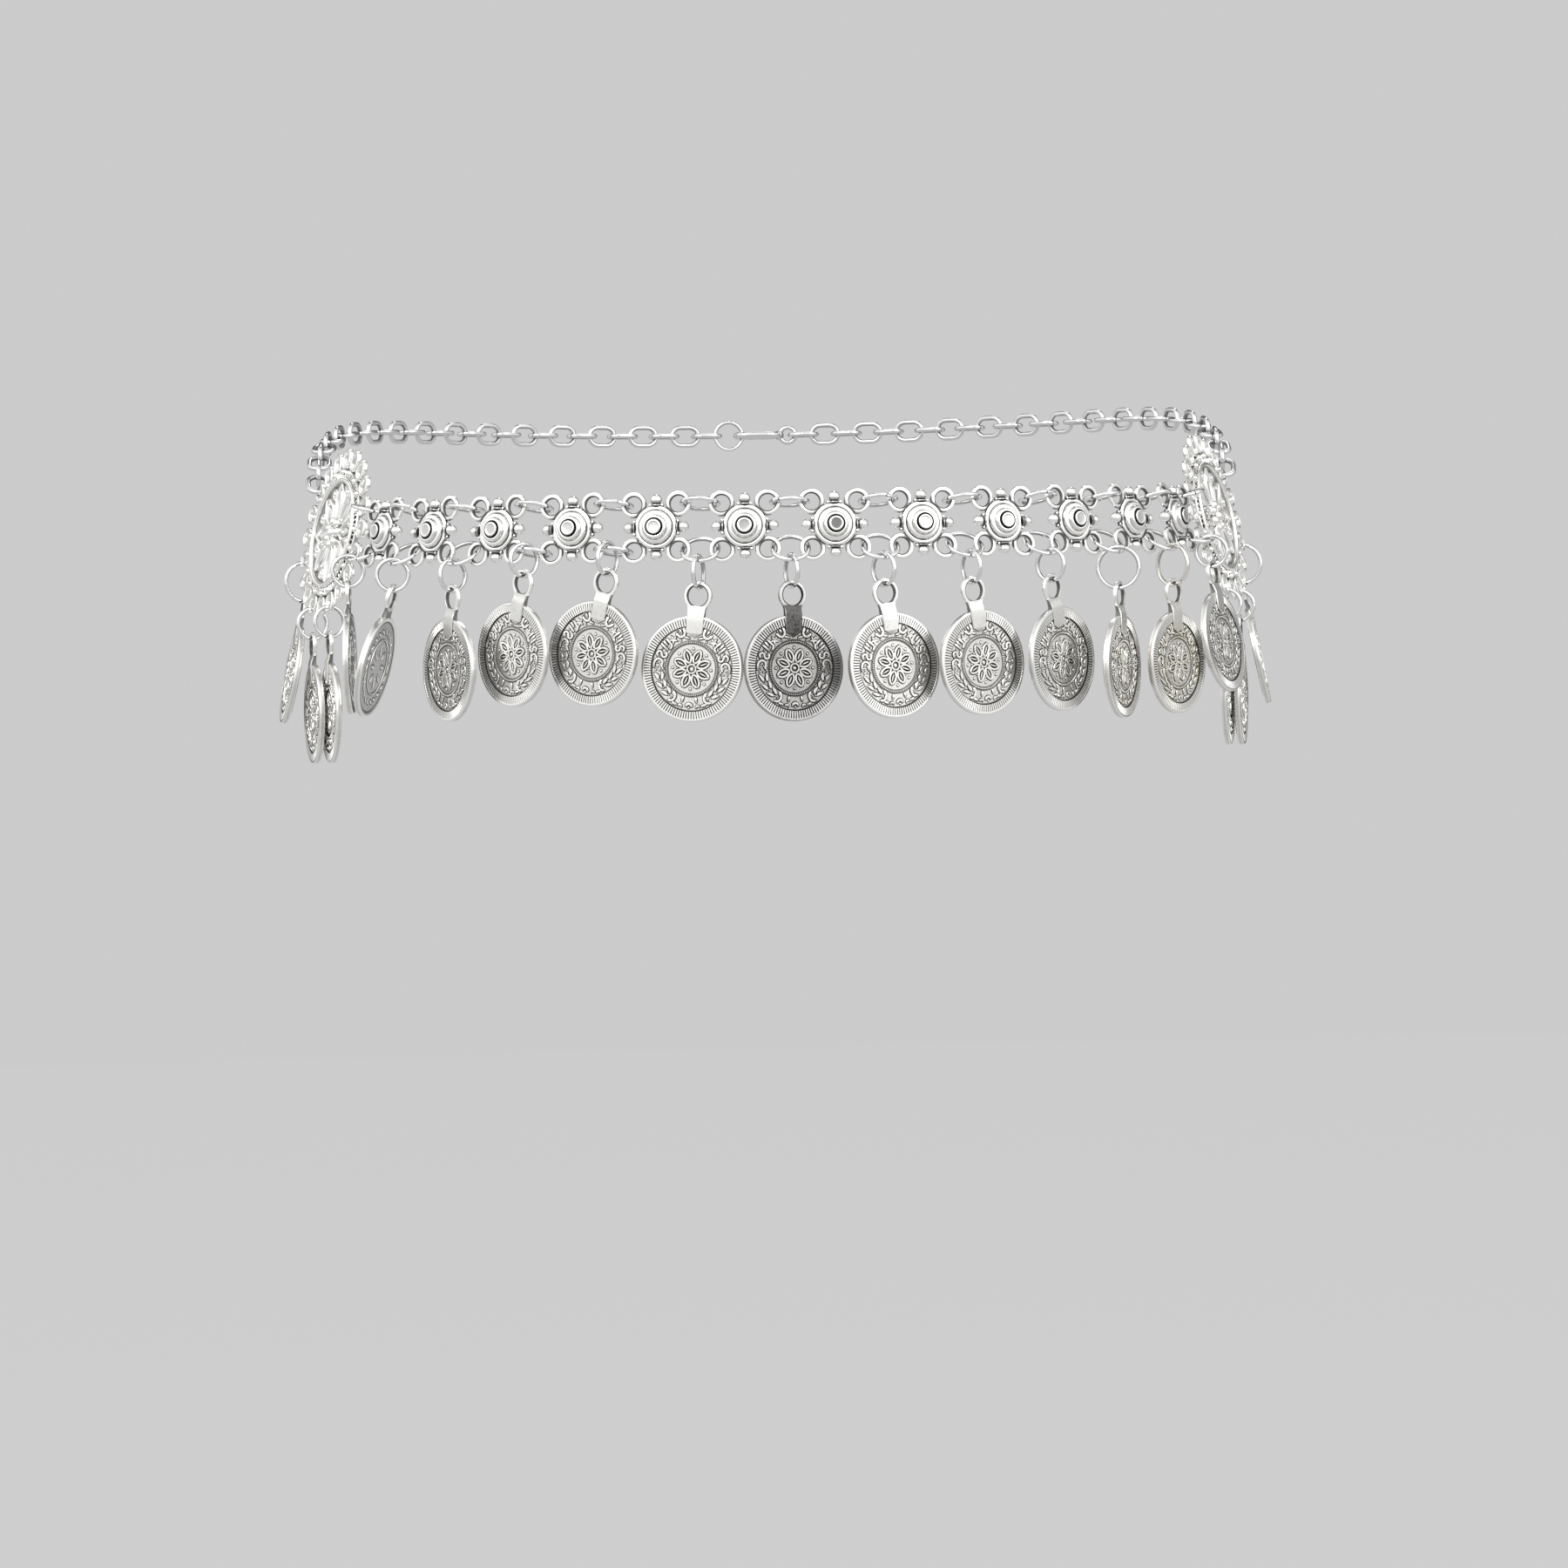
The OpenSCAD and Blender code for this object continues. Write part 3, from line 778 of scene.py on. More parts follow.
def dome(middle_dark):
    """The dome and its flange, black on the edge beside each ball."""
    edge_r, edge_top, black_to, clean_from = 4.05, 0.45, 15, 21
    points, faces, dark = lathe(DOME + button_top(middle_dark), 72)
    angles = np.degrees(np.arctan2(points[:, 1], points[:, 0]))
    off_ball = np.abs((angles + 45) % 90 - 45)
    edge = (np.hypot(points[:, 0], points[:, 1]) > edge_r) & (points[:, 2] < edge_top)
    pocket = np.clip((clean_from - off_ball) / (clean_from - black_to), 0, 1)
    return points, faces, np.where(edge, np.maximum(dark, pocket), dark)


print("the dome is", round(DOME[-1][1] - DOME[0][1], 2), "mm high")

# %% [markdown]
# A ball stands on a short collar on each of the four sides, with a small point of the
# flange to either side of it. Each is turned upright and then laid over.

# %% Balls on their collars
BALL_R = 1.06
BALL_AT = 5.22
COLLAR = [  # radius, distance from the middle of the link, darkness
    (0.7, 3.85, 1.0), (0.95, 4.02, 1.0), (1.02, 4.14, 0.35), (0.98, 4.28, 0.5), (0.76, 4.38, 1.0),
]
PRONG = [(0.3, -0.3, 1.0), (0.36, 0.0, 0.8), (0.26, 0.26, 0.1), (0.08, 0.36, 0.0)]


def ball_on_collar():
    """A ball, black at the bottom where it meets its collar."""
    start, end, steps = 42, 174, 8
    around = [math.radians(start + k * (end - start) / steps) for k in range(steps + 1)]
    ball = [
        (BALL_R * math.sin(a), BALL_AT - BALL_R * math.cos(a), max(0.0, 1 - k / 2.2))
        for k, a in enumerate(around)
    ]
    return moved(lathe(COLLAR + ball, 20), turn("Y", 90))


def prong(side):
    """A small point of the flange beside a ball."""
    return moved(lathe(PRONG, 10), shift(4.22, side * 1.18, 0))


print("from the middle of a link to the end of a ball:", round(BALL_AT + BALL_R, 2), "mm")

# %% [markdown]
# The corner rings run into the dome and pass close by the balls. There the rings get
# painted shade, darker by their distance from the middle of the link and from the two
# nearest collars.

# %% Corner rings
CORNER_SECTION = [  # distance out from the hole, height, darkness
    (0.0, -0.2, 0.75), (0.12, -0.36, 0.1), (0.45, -0.43, 0.0), (0.78, -0.34, 0.0),
    (0.9, -0.08, 0.15), (0.9, 0.1, 0.15), (0.8, 0.33, 0.0), (0.5, 0.43, 0.0),
    (0.24, 0.39, 0.0), (0.17, 0.31, 0.85), (0.0, 0.22, 0.8),
]
COLLAR_AT = 4.5


def corner_ring(x, y):
    """The ring at one corner, round the hole at (x, y)."""
    outline = [(CORNER_HOLE + out, high, dark) for out, high, dark in CORNER_SECTION]
    points, faces, dark = moved(lathe(outline, 36, ring=True), shift(x, y, 0))
    from_middle = np.hypot(points[:, 0], points[:, 1])
    # Painted shade where the ring runs under the dome and passes close by the balls.
    shade_painted_under_dome = np.clip((4.75 - from_middle) / 0.5, 0, 1)
    to_collar = np.minimum(
        np.hypot(points[:, 0] - math.copysign(COLLAR_AT, x), points[:, 1]),
        np.hypot(points[:, 0], points[:, 1] - math.copysign(COLLAR_AT, y)),
    )
    shade_painted_beside_ball = np.clip((2.2 - to_collar) / 0.35, 0, 1)
    return points, faces, np.maximum.reduce([dark, shade_painted_under_dome, shade_painted_beside_ball])


print("points in a corner ring:", len(corner_ring(CORNER_X, CORNER_Z)[0]))

# %% [markdown]
# A link is put together lying flat, stood up to face forward, and set down on the loop.
# All twelve are made in one loop, so a change to the shape reaches each of them.


# %% The twelve links
def link_shape(middle_dark):
    """One casting: dome, balls, prongs and corner rings."""
    corners = [corner_ring(x * CORNER_X, y * CORNER_Z) for x in (-1, 1) for y in (-1, 1)]
    balls = round_and_round(ball_on_collar(), 4)
    prongs = round_and_round(prong(1), 4) + round_and_round(prong(-1), 4)
    return joined([dome(middle_dark), *balls, *prongs, *corners])


USUAL_MIDDLE = 0.33
DARK_MIDDLES = {6: 0.45, 7: 0.75, 11: 0.3, 12: 0.35}
for i in range(1, LINK_COUNT + 1):
    casting = link_shape(DARK_MIDDLES.get(i, USUAL_MIDDLE))
    name = f"link_{i}"
    place = on_loop(link_angle(i)) @ FACE_FRONT
    piece(f"{name}_casting", moved(casting, place), link_silver, [name])
print("triangles in a link:", triangles["link_1_casting"])

# %% [markdown]
# ## The join rings
#
# Jump rings are cut from a coil of wire, so each has a cut whose ends never quite meet.
# The cuts are turned to a different place on every ring. The turns are drawn from a
# seeded generator, which gives the same numbers on every run.

# %% Upper and lower join rings, and the coins' rings
RING_STEPS = 44
# How dark the painted shade on the inner side of bent wire is.
WIRE_SHADE = 0.5
CUT_DEGREES = (1.5, 5.0)
CUT_MISS = (0.05, 0.2)
RING_BRASS = 0.3
draw = random.Random(41)


def jump_ring(radius, cut_at, cut, miss):
    """A ring of wire with a fine cut, whose ends miss each other a little."""
    path = circle_path(radius, RING_STEPS, cut_at + cut / 2, 360 - cut, miss)
    return wire(path, RING_WIRE, 10, closed=False, shade_painted_inside=WIRE_SHADE)


def ring_piece(name, places, radii, brassy=()):
    """The jump rings of one node, each with a cut of its own."""
    shapes, brass = [], []
    for k, (place, radius) in enumerate(zip(places, radii)):
        cut_at, cut, miss = draw.uniform(0, 360), draw.uniform(*CUT_DEGREES), draw.uniform(*CUT_MISS)
        ring = moved(jump_ring(radius, cut_at, cut, miss), place)
        shapes.append(ring)
        brass.append(np.full(len(ring[0]), RING_BRASS if k in brassy else 0.0))
    shape = joined(shapes)
    piece(f"{name}_wire", shape, wire_steel, [name], np.concatenate(brass))


join_radii = [JOIN_R] * len(GAPS)
coin_ring_radii = [how["ring"] for how in GAPS]
ring_piece("upper_join_rings", upper_places, join_radii)
ring_piece("lower_join_rings", lower_places, join_radii)
ring_piece("coin_rings", coin_ring_places, coin_ring_radii, brassy=(11,))
print("triangles in the coin rings:", triangles["coin_rings_wire"])

# %% [markdown]
# ## The coins
#
# A coin starts as a turned disc: a plain rim, a sunk band for the ribs, a dark groove
# and the field. Everything else is laid on top as relief. The back is plainer, with a
# raised rim round a sunk face.

# %% The disc's outline
FIELD_Z = COIN_T / 2 - 0.25
BAND_Z = COIN_T / 2 - 0.2
BACK_Z = -COIN_T / 2 + 0.2
RIBS_IN = 8.0
RIBS_OUT = 9.34
DISC = [
    (0.5, BACK_Z, 0.3),
    (8.6, BACK_Z, 0.35),
    (8.95, BACK_Z, 0.85),
    (9.1, -COIN_T / 2 + 0.05, 0.2),
    (9.25, -COIN_T / 2, 0.0),
    (9.72, -COIN_T / 2, 0.0),
    (COIN_R - 0.03, -COIN_T / 2 + 0.12, 0.1),
    (COIN_R, 0.0, 0.3),
    (COIN_R - 0.03, COIN_T / 2 - 0.14, 0.1),
    (COIN_R - 0.12, COIN_T / 2 - 0.03, 0.0),
    (9.62, COIN_T / 2, 0.0),
    (RIBS_OUT + 0.06, COIN_T / 2 - 0.01, 0.0),
    (RIBS_OUT, BAND_Z + 0.1, 0.6),
    (RIBS_OUT - 0.06, BAND_Z, 1.0),
    (RIBS_IN, BAND_Z, 1.0),
    (RIBS_IN - 0.12, FIELD_Z - 0.03, 1.0),
    (RIBS_IN - 0.26, FIELD_Z, 0.6),
    (RIBS_IN - 0.4, FIELD_Z, FIELD_DARK),
    (5.45, FIELD_Z, FIELD_DARK),
    (5.24, FIELD_Z, 0.9),
    (4.66, FIELD_Z, 0.9),
    (4.45, FIELD_Z, FIELD_DARK),
    (0.3, FIELD_Z, FIELD_DARK),
]
print("the field lies", round(COIN_T / 2 - FIELD_Z, 2), "mm below the rim")

# %% [markdown]
# The ribs are thin wedges with flat tops over the dark band. There are 111 of them, so
# each one is made of as few points as will hold its form.

# %% Ribs and the beaded circle
RIB_COUNT = 111
BEAD_COUNT = 80
BEAD_CIRCLE_R = 4.95


def rib():
    """One wedge, from the inner edge of the band to the rim."""
    low, high = BAND_Z - 0.02, COIN_T / 2 - 0.02
    points, dark = [], []
    for along in (RIBS_IN, RIBS_OUT + 0.05):
        half = along * math.pi / RIB_COUNT
        section = ((-0.84, low, 1.0), (-0.7, high - 0.05, 0.2), (-0.5, high, 0.0),
                   (0.5, high, 0.0), (0.7, high - 0.05, 0.2), (0.84, low, 1.0))
        for across, height, shade in section:
            points.append((along, across * half, height))
            dark.append(shade)
    faces = [(k, k + 6, k + 7, k + 1) for k in range(5)] + [(0, 1, 2, 3, 4, 5)]
    return np.array(points), faces, np.array(dark)


def ribs_and_beads():
    """All ribs of the border, and the circle of beads on the field."""
    beads = round_and_round(bead(BEAD_CIRCLE_R, 0, 0.17, 0.22, 6), BEAD_COUNT)
    on_field = [moved(one, shift(0, 0, FIELD_Z)) for one in beads]
    return round_and_round(rib(), RIB_COUNT) + on_field


print("width of a rib with its gap:", round(2 * math.pi * RIBS_IN / RIB_COUNT, 2), "mm")

# %% [markdown]
# ### The coin's figures
#
# Between the beads and the ribs runs a ring of common ornament: two stars, scrolls,
# bars, a leafy branch on each side and a row of ovals at the bottom. One half is
# written down and mirrored. The middle has a rosette. Angles are counted from the top
# of the coin, and each figure is drawn upright at the top and then turned into place.

# %% Lines, dots, stars and hooks
RELIEF = 0.24
RING_MID = 6.5
LINE = 0.54


def at_ring(figures, angle, out=0.0):
    """Figures drawn round the origin, set on the ring at an angle from the top."""
    return [moved(figure, turn("Z", -angle) @ shift(0, RING_MID + out, 0)) for figure in figures]


def line(points, width=LINE):
    """A raised line."""
    return ridge(points, width, RELIEF)


def dot(x, y, radius=0.2):
    """A raised dot."""
    return bead(x, y, radius, RELIEF)


def star():
    """Five tapered arms that meet in the middle."""
    arm = ridge([(0, 0.1), (0, 0.45), (0, 0.82)], [0.62, 0.42, 0.12], RELIEF)
    return [moved(arm, turn("Z", 72 * k)) for k in range(5)]


def cup():
    """A cup-shaped hook round a short bar."""
    bowl = np.vstack([[(-0.78, 0.8)], arc(-0.06, 0.25, 0.72, 190, 150, 9), [(0.78, 0.3)]])
    return [line(bowl), line([(-0.12, 0.35), (-0.02, 0.8)], 0.4), dot(0.55, 0.85, 0.17)]


def bars():
    """Three slanting bars, the first with a hooked foot."""
    hooked = np.vstack([[(-0.95, 0.75), (-0.85, -0.1)], arc(-0.25, -0.3, 0.6, 195, 90, 6)])
    short, long = [(-0.3, 0.9), (-0.15, 0.1)], [(0.35, 0.95), (0.45, -0.5)]
    slanting = [line(path, 0.46) for path in (hooked, short, long)]
    return slanting + [dot(0.95, 0.35, 0.18), dot(0.95, -0.6, 0.18)]


print("points in a star:", sum(len(arm[0]) for arm in star()))

# %% [markdown]
# Scrolls and curls are arcs set end to end. They are drawn with a few points each, which
# is enough at this size, since a figure is only about 2 mm tall.


# %% Scrolls, curls and leaves
def scroll():
    """An S across the ring with a dot in each bend."""
    bend = np.vstack([arc(0.12, 0.42, 0.48, 20, 200, 9), arc(-0.1, -0.5, 0.48, 60, -200, 9)])
    return [line(bend, 0.46), dot(0.2, 0.35, 0.14), dot(-0.2, -0.45, 0.14), dot(-0.62, -0.75, 0.17)]


def curl():
    """A line that curls round two dots."""
    path = np.vstack([[(0.8, 0.9), (0.2, 0.95)], arc(-0.05, 0.1, 0.78, 100, 210, 10), [(0.75, -0.85)]])
    return [line(path, 0.48), dot(-0.02, 0.32, 0.19), dot(0.12, -0.25, 0.19), dot(0.75, 0.2, 0.19)]


def leaf_pair():
    """Two leaves that part from the middle of the ring and point to the coin's top."""
    leaf = leaf_ridge(1.7, 0.72, RELIEF, 0.1)
    outer = moved(leaf, shift(-0.1, 0.5, 0) @ turn("Z", 180 - 22))
    inner = moved(leaf, shift(0.0, -0.58, 0) @ turn("Z", 180 + 14))
    return [outer, inner, dot(0.75, 0.0, 0.17)]


print("a figure lies up to", RELIEF, "mm proud of the field")

# %% [markdown]
# Now each figure gets its angle. The order is the one round the coin, from the strap
# down to the ovals at the bottom, and the branch is three pairs of leaves.


# %% Half of the ring of ornament
def half_ring():
    """The figures from the top of the coin to the bottom, on one side."""
    figures = at_ring([moved(line([(-0.35, 0), (0.35, 0)], 0.42), turn("Z", 24))], 13, -0.62)
    figures += at_ring(cup(), 22, 0.25) + at_ring([dot(0, 0)], 26, -0.78)
    figures += at_ring(star(), 37.5) + at_ring(bars(), 53) + at_ring(scroll(), 69)
    figures += at_ring(curl(), 84.5) + at_ring([dot(0, 0.55), dot(0.1, -0.2), dot(-0.1, -0.85)], 95.5)
    for angle in (106, 120.5, 135):
        figures += at_ring(leaf_pair(), angle)
    ribbon = arc(-0.55, -0.1, 0.95, 75, -150, 10)
    figures += at_ring([line(ribbon, 0.52)], 149) + at_ring([dot(0, -0.6, 0.2), dot(0, 0.1, 0.17)], 147)
    figures += at_ring([line([(-0.3, 0), (0.3, 0)], 0.5)], 156.5, 0.72)
    figures += at_ring([line([(0, -0.4), (0, 0.25)], 0.42)], 167, -0.55)
    figures += at_ring([line(arc(0, 0.1, 0.32, 200, 140, 6), 0.4)], 166, 0.72)
    return figures


print("raised shapes on half the ring:", len(half_ring()))

# %% [markdown]
# A mirrored shape is turned inside out, so its faces have to be listed the other way
# round. That is easy to forget, and shows as patches that catch the light wrongly.


# %% Mirror, rosette and the whole face
def mirrored(shape):
    """The same shape on the other side of the coin's middle line."""
    points, faces, dark = shape
    return points * [-1, 1, 1], [tuple(reversed(face)) for face in faces], dark


def rosette():
    """Eight outlined petals with a vein each, and a ring round a bead."""
    petal = np.vstack([arc(2.42, -0.95, 1.62, 148, -116, 9), arc(2.42, 0.95, 1.62, -32, -116, 9)])
    outline = ridge(petal, 0.44, RELIEF, closed=True)
    vein = ridge([(1.8, 0), (2.4, 0), (3.05, 0)], [0.2, 0.36, 0.2], RELIEF * 0.8)
    figures = round_and_round(outline, 8, 22.5) + round_and_round(vein, 8, 22.5)
    figures += round_and_round(dot(3.75, 0, 0.27), 8)
    figures += round_and_round(dot(2.85, 0, 0.17), 8)
    figures.append(ridge(circle_path(0.82, 20)[:, :2], 0.34, RELIEF, closed=True))
    figures.append(bead(0, 0, 0.38, RELIEF * 1.2, 12))
    return figures


def coin_face():
    """All figures of the front, lifted to the level of the field."""
    half = half_ring()
    arch = line(arc(0, -0.55, 0.55, 15, 150, 8), 0.5)
    bottom = at_ring([moved(arch, turn("Z", 180)), dot(0, 0.72, 0.24)], 180)
    figures = half + [mirrored(figure) for figure in half] + bottom + rosette()
    return [moved(figure, shift(0, 0, FIELD_Z)) for figure in figures]


print("raised shapes on the whole face:", len(coin_face()))

# %% [markdown]
# ### The back
#
# On the back a wreath of leaves runs round a plain field, inside a fine circle. It is
# drawn facing up like the front, and then turned over.

# %% Back wreath
BACK_RELIEF = 0.16


def coin_back():
    """The wreath, the leaves inside it and the circle between them."""
    leaf = moved(leaf_ridge(2.0, 0.75, BACK_RELIEF), turn("Z", 62))
    leaves = round_and_round(moved(leaf, shift(7.0, 0, 0)), 22)
    inner = round_and_round(moved(leaf_ridge(2.2, 0.9, BACK_RELIEF), shift(3.2, 0, 0)), 8)
    circle = ridge(circle_path(5.4, 48)[:, :2], 0.24, BACK_RELIEF, closed=True)
    over = shift(0, 0, BACK_Z) @ turn("Y", 180)
    return [moved(one, over) for one in [*leaves, *inner, circle]]


print("raised shapes on the back:", len(coin_back()))

# %% [markdown]
# ### Strap and bail
#
# The coin hangs from a wire ring, the bail, soldered to a flat strap with a pointed end.
# The strap's edges are bevelled, because a knife-sharp edge never catches the light and
# looks like paper. The strap is on the front only, so a box won't do: its front steps
# down from the coin's face to the middle of the bail.

# %% Strap
STRAP_HALF = 1.65
STRAP_BACK = -0.32
STRAP_BEVEL = 0.12
ON_FACE = COIN_T / 2 + 0.25
STRAP_ROWS = [  # height on the coin, half the width, level of the front
    (5.7, 0.03, ON_FACE - 0.12), (5.86, 0.25, ON_FACE), (6.68, 1.54, ON_FACE),
    (6.85, STRAP_HALF, ON_FACE), (8.4, STRAP_HALF, ON_FACE), (9.8, STRAP_HALF, ON_FACE),
    (10.2, STRAP_HALF, 0.8), (10.6, STRAP_HALF, 0.66), (11.0, 1.68, 0.52),
    (11.35, 1.78, 0.43), (11.7, 1.95, 0.4),
]


def strap(face_dark):
    """A flat strip from its point on the coin's face, over the rim, to the bail."""
    points, dark = [], []
    for y, half, front in STRAP_ROWS:
        bevel = min(STRAP_BEVEL, half * 0.6)
        section = [
            (-half, STRAP_BACK, 0.6), (-half, front - bevel - 0.2, 0.75),
            (-half, front - bevel, 0.1), (-half + bevel, front, face_dark),
        ]
        section += [(-x, z, shade) for x, z, shade in reversed(section)]
        points += [(x, y, z) for x, z, _ in section]
        dark += [shade for _, _, shade in section]
    last = (len(STRAP_ROWS) - 1) * 8
    faces = [tuple(reversed(face)) for face in strips(len(STRAP_ROWS), 8)]
    faces += [tuple(range(8)), tuple(range(last + 7, last - 1, -1))]
    return np.array(points), faces, np.array(dark)


print("the strap is", 2 * STRAP_HALF, "mm wide")

# %% [markdown]
# The disc with all its figures is put together once. Two coins are made from it, one
# with a bright strap and one with a dark strap for the tarnished coin.

# %% Bail and whole coin
BAIL_SECTION = [  # distance out from the middle of the wire, height, darkness
    (-0.42, -0.2, 0.8), (-0.3, -0.36, 0.1), (0.28, -0.38, 0.0), (0.4, -0.24, 0.1),
    (0.41, 0.22, 0.1), (0.3, 0.38, 0.0), (-0.16, 0.4, 0.0), (-0.24, 0.33, 0.85),
    (-0.42, 0.2, 0.8),
]


def bail():
    """A flat ring with a small bevel round its hole."""
    outline = [(BAIL_R + out, high, dark) for out, high, dark in BAIL_SECTION]
    return moved(lathe(outline, 40, ring=True), shift(0, BAIL_DROP, 0))


struck_disc = joined([lathe(DISC, 96), *ribs_and_beads(), *coin_face(), *coin_back()])
coin = joined([struck_disc, strap(face_dark=0.2), bail()])
dark_coin = joined([struck_disc, strap(face_dark=0.65), bail()])
print("points in a coin:", len(coin[0]))

# %% [markdown]
# The thirteen coins of the band differ only in how they hang and in their tarnish. The
# middle one is dark all over. On the three before the last one on the right, brass
# shows more and more where the plating has worn through.

# %% The coins of the band
DARK_COIN = 7
USUAL_BRASS = 0.05
BRASSY_COINS = {10: 0.08, 11: 0.18, 12: 0.32}
RIM_SHARE = 0.3


def brass_on(amount):
    """Brass that shows through in the field, and hardly at all on the rubbed rim."""
    points = coin[0]
    in_field = (np.hypot(points[:, 0], points[:, 1]) < RIBS_IN - 0.2) & (points[:, 2] > 0)
    return amount * np.where(in_field, 1.0, RIM_SHARE)


for k, place in enumerate(coin_places, start=1):
    name = f"coin_{k}"
    shape, finish, slot = coin, coin_silver, "coin_silver"
    if k == DARK_COIN:
        shape, finish, slot = dark_coin, dark_coin_silver, "dark_coin_silver"
    brass = brass_on(BRASSY_COINS.get(k, USUAL_BRASS))
    piece(f"{name}_struck", moved(shape, place), finish, [name], brass)
print("triangles in a coin:", triangles["coin_1_struck"])

# %% [markdown]
# ## The medallions
#
# A medallion is cast and pierced, like metal lace. It could be cut from a plate with
# Booleans, but cast lace has rounded bars, so it is built up from bent wires instead.
# From the rim inward it has twenty open loops, a ribbed band, a smooth ring, and eight
# petals round a little flower. The wires run into each other as in the casting.

# %% Rim loops and band
MEDALLION_HALF = 0.5
BAND_OUTLINE = [  # radius, bottom or top of the plate, height from there, darkness
    (10.1, -1, 0.0, 0.4), (12.75, -1, 0.0, 0.3), (12.9, -1, 0.15, 0.3), (12.9, 1, -0.2, 0.5),
    (12.75, 1, 0.0, 0.0), (12.25, 1, 0.0, 0.0), (12.15, 1, -0.3, 1.0), (11.35, 1, -0.3, 1.0),
    (11.3, 1, 0.0, 0.9), (10.1, 1, 0.0, 0.5),
]


def rim_loop():
    """An open loop, black where it joins the band and grey inside its hole."""
    path = oval_path(RIM_STRAIGHT, RIM_HOLE + RIM_WIRE / 2, 12) + [RIM_LOOP_AT, 0, 0]
    points, faces, _ = wire(path, RIM_WIRE, 8)
    points = points * [1, 1, 2 * MEDALLION_HALF / RIM_WIRE]
    from_middle = np.hypot(points[:, 0], points[:, 1])
    from_hole = np.hypot(points[:, 0] - RIM_LOOP_AT, points[:, 1])
    at_band = np.clip((13.4 - from_middle) / 0.7, 0, 0.9)
    in_hole = np.clip(1.25 - from_hole, 0, 0.5)
    return points, faces, np.maximum(at_band, in_hole)


def band():
    """The round band inside the rim loops, with a groove for the ribs."""
    outline = [
        (radius, face * MEDALLION_HALF + up, dark) for radius, face, up, dark in BAND_OUTLINE
    ]
    return lathe(outline, 80, ring=True)


print("points in a rim loop:", len(rim_loop()[0]))

# %% [markdown]
# The band is crossed by fine ribs and carries a ball for each loop. The ribs are short
# bent wires, arched a little so that their middles catch the light.

# %% Ribs, balls and smooth ring
BAND_RIBS = 72


def small_ball(radius, x, y, z, count=12):
    """A ball without its lowest part, which is sunk in the metal below."""
    outline = [
        (radius * math.sin(a), -radius * math.cos(a), max(0.0, 0.9 - a))
        for a in np.linspace(0.35, math.pi - 0.12, 7)
    ]
    return moved(lathe(outline, count), shift(x, y, z))


def lace_rim():
    """Rim loops, band, ribs, balls and smooth ring."""
    high = MEDALLION_HALF
    arched = [(11.2, 0, high - 0.2), (11.75, 0, high - 0.12), (12.2, 0, high - 0.2)]
    parts = round_and_round(rim_loop(), RIM_LOOPS) + [band()]
    parts += round_and_round(wire(arched, 0.42, 6, closed=False), BAND_RIBS)
    parts += round_and_round(small_ball(0.65, 12.4, 0, high), RIM_LOOPS)
    smooth_ring = circle_path(10.75, 72) + [0, 0, high + 0.1]
    return parts + [wire(smooth_ring, 1.0, 12)]


print("shapes in a medallion's rim:", len(lace_rim()))

# %% [markdown]
# A petal's outline is two arcs that meet in points. Inside each petal lies a small solid
# leaf, a little lower than the wire round it.


# %% Petals and their leaves
def petal_wire():
    """Two equal arcs whose radius follows from a petal's length and width."""
    length, width, middle, steps = 7.7, 3.3, 6.25, 12
    radius = (length**2 + width**2) / (4 * width)
    half_turn = math.degrees(math.asin(length / 2 / radius))
    low = arc(0, radius - width / 2, radius, 270 - half_turn, 2 * half_turn, steps)[:-1]
    high = arc(0, width / 2 - radius, radius, 90 - half_turn, 2 * half_turn, steps)[:-1]
    flat = np.vstack([low, high])
    path = np.column_stack([flat, np.zeros(len(flat))]) + [middle, 0, 0]
    points, faces, dark = wire(path, 0.85, 8)
    return points * [1, 1, 1.15], faces, dark


def inner_leaf():
    """A leaf with a raised middle, narrow at both ends."""
    share = np.linspace(0, 1, 9)
    half = np.maximum(np.sin(share**0.8 * math.pi), 0.03)
    along = 3.5 + 5.0 * share
    section = [  # share of the half width, height, darkness
        (-1.0, -0.25, 0.4), (-1.0, 0.0, 0.8), (-0.75, 0.14, 0.25), (0.0, 0.3, 0.0),
        (0.75, 0.14, 0.25), (1.0, 0.0, 0.8), (1.0, -0.25, 0.4),
    ]
    points = [(x, side * wide, z) for x, wide in zip(along, half) for side, z, _ in section]
    dark = np.tile([shade for _, _, shade in section], len(share))
    faces = [tuple(reversed(face)) for face in strips(len(share), len(section))]
    last = (len(share) - 1) * len(section)
    faces += [tuple(range(len(section))), tuple(range(last + len(section) - 1, last - 1, -1))]
    return np.array(points), faces, dark


print("points in a petal and its leaf:", len(petal_wire()[0]), len(inner_leaf()[0]))

# %% [markdown]
# Small rings with a ball in them fill the corners between the petals, and a flower of
# seven balls round a larger one sits on a round boss in the middle.

# %% Both medallions
PETALS = 8
CORNER_FILL_AT = 8.85
FLOWER_BALLS = 7
BOSS = [
    (2.9, -MEDALLION_HALF, 0.3), (3.1, -MEDALLION_HALF + 0.15, 0.4),
    (3.1, MEDALLION_HALF - 0.2, 0.8), (2.9, MEDALLION_HALF - 0.1, 0.7),
]


def lace_middle():
    """Petals, leaves, corner rings with their balls, boss and flower."""
    high, between = MEDALLION_HALF, 180 / PETALS
    filler = wire(circle_path(0.95, 16) + [CORNER_FILL_AT, 0, 0], 0.6, 8)
    parts = round_and_round(petal_wire(), PETALS) + round_and_round(inner_leaf(), PETALS)
    parts += round_and_round(filler, PETALS, between)
    parts += round_and_round(small_ball(0.5, CORNER_FILL_AT, 0, 0.1, 10), PETALS, between)
    parts += [lathe(BOSS, 36)]
    parts += round_and_round(small_ball(0.95, 2.35, 0, high - 0.1, 14), FLOWER_BALLS)
    return parts + [small_ball(1.2, 0, 0, high, 20)]


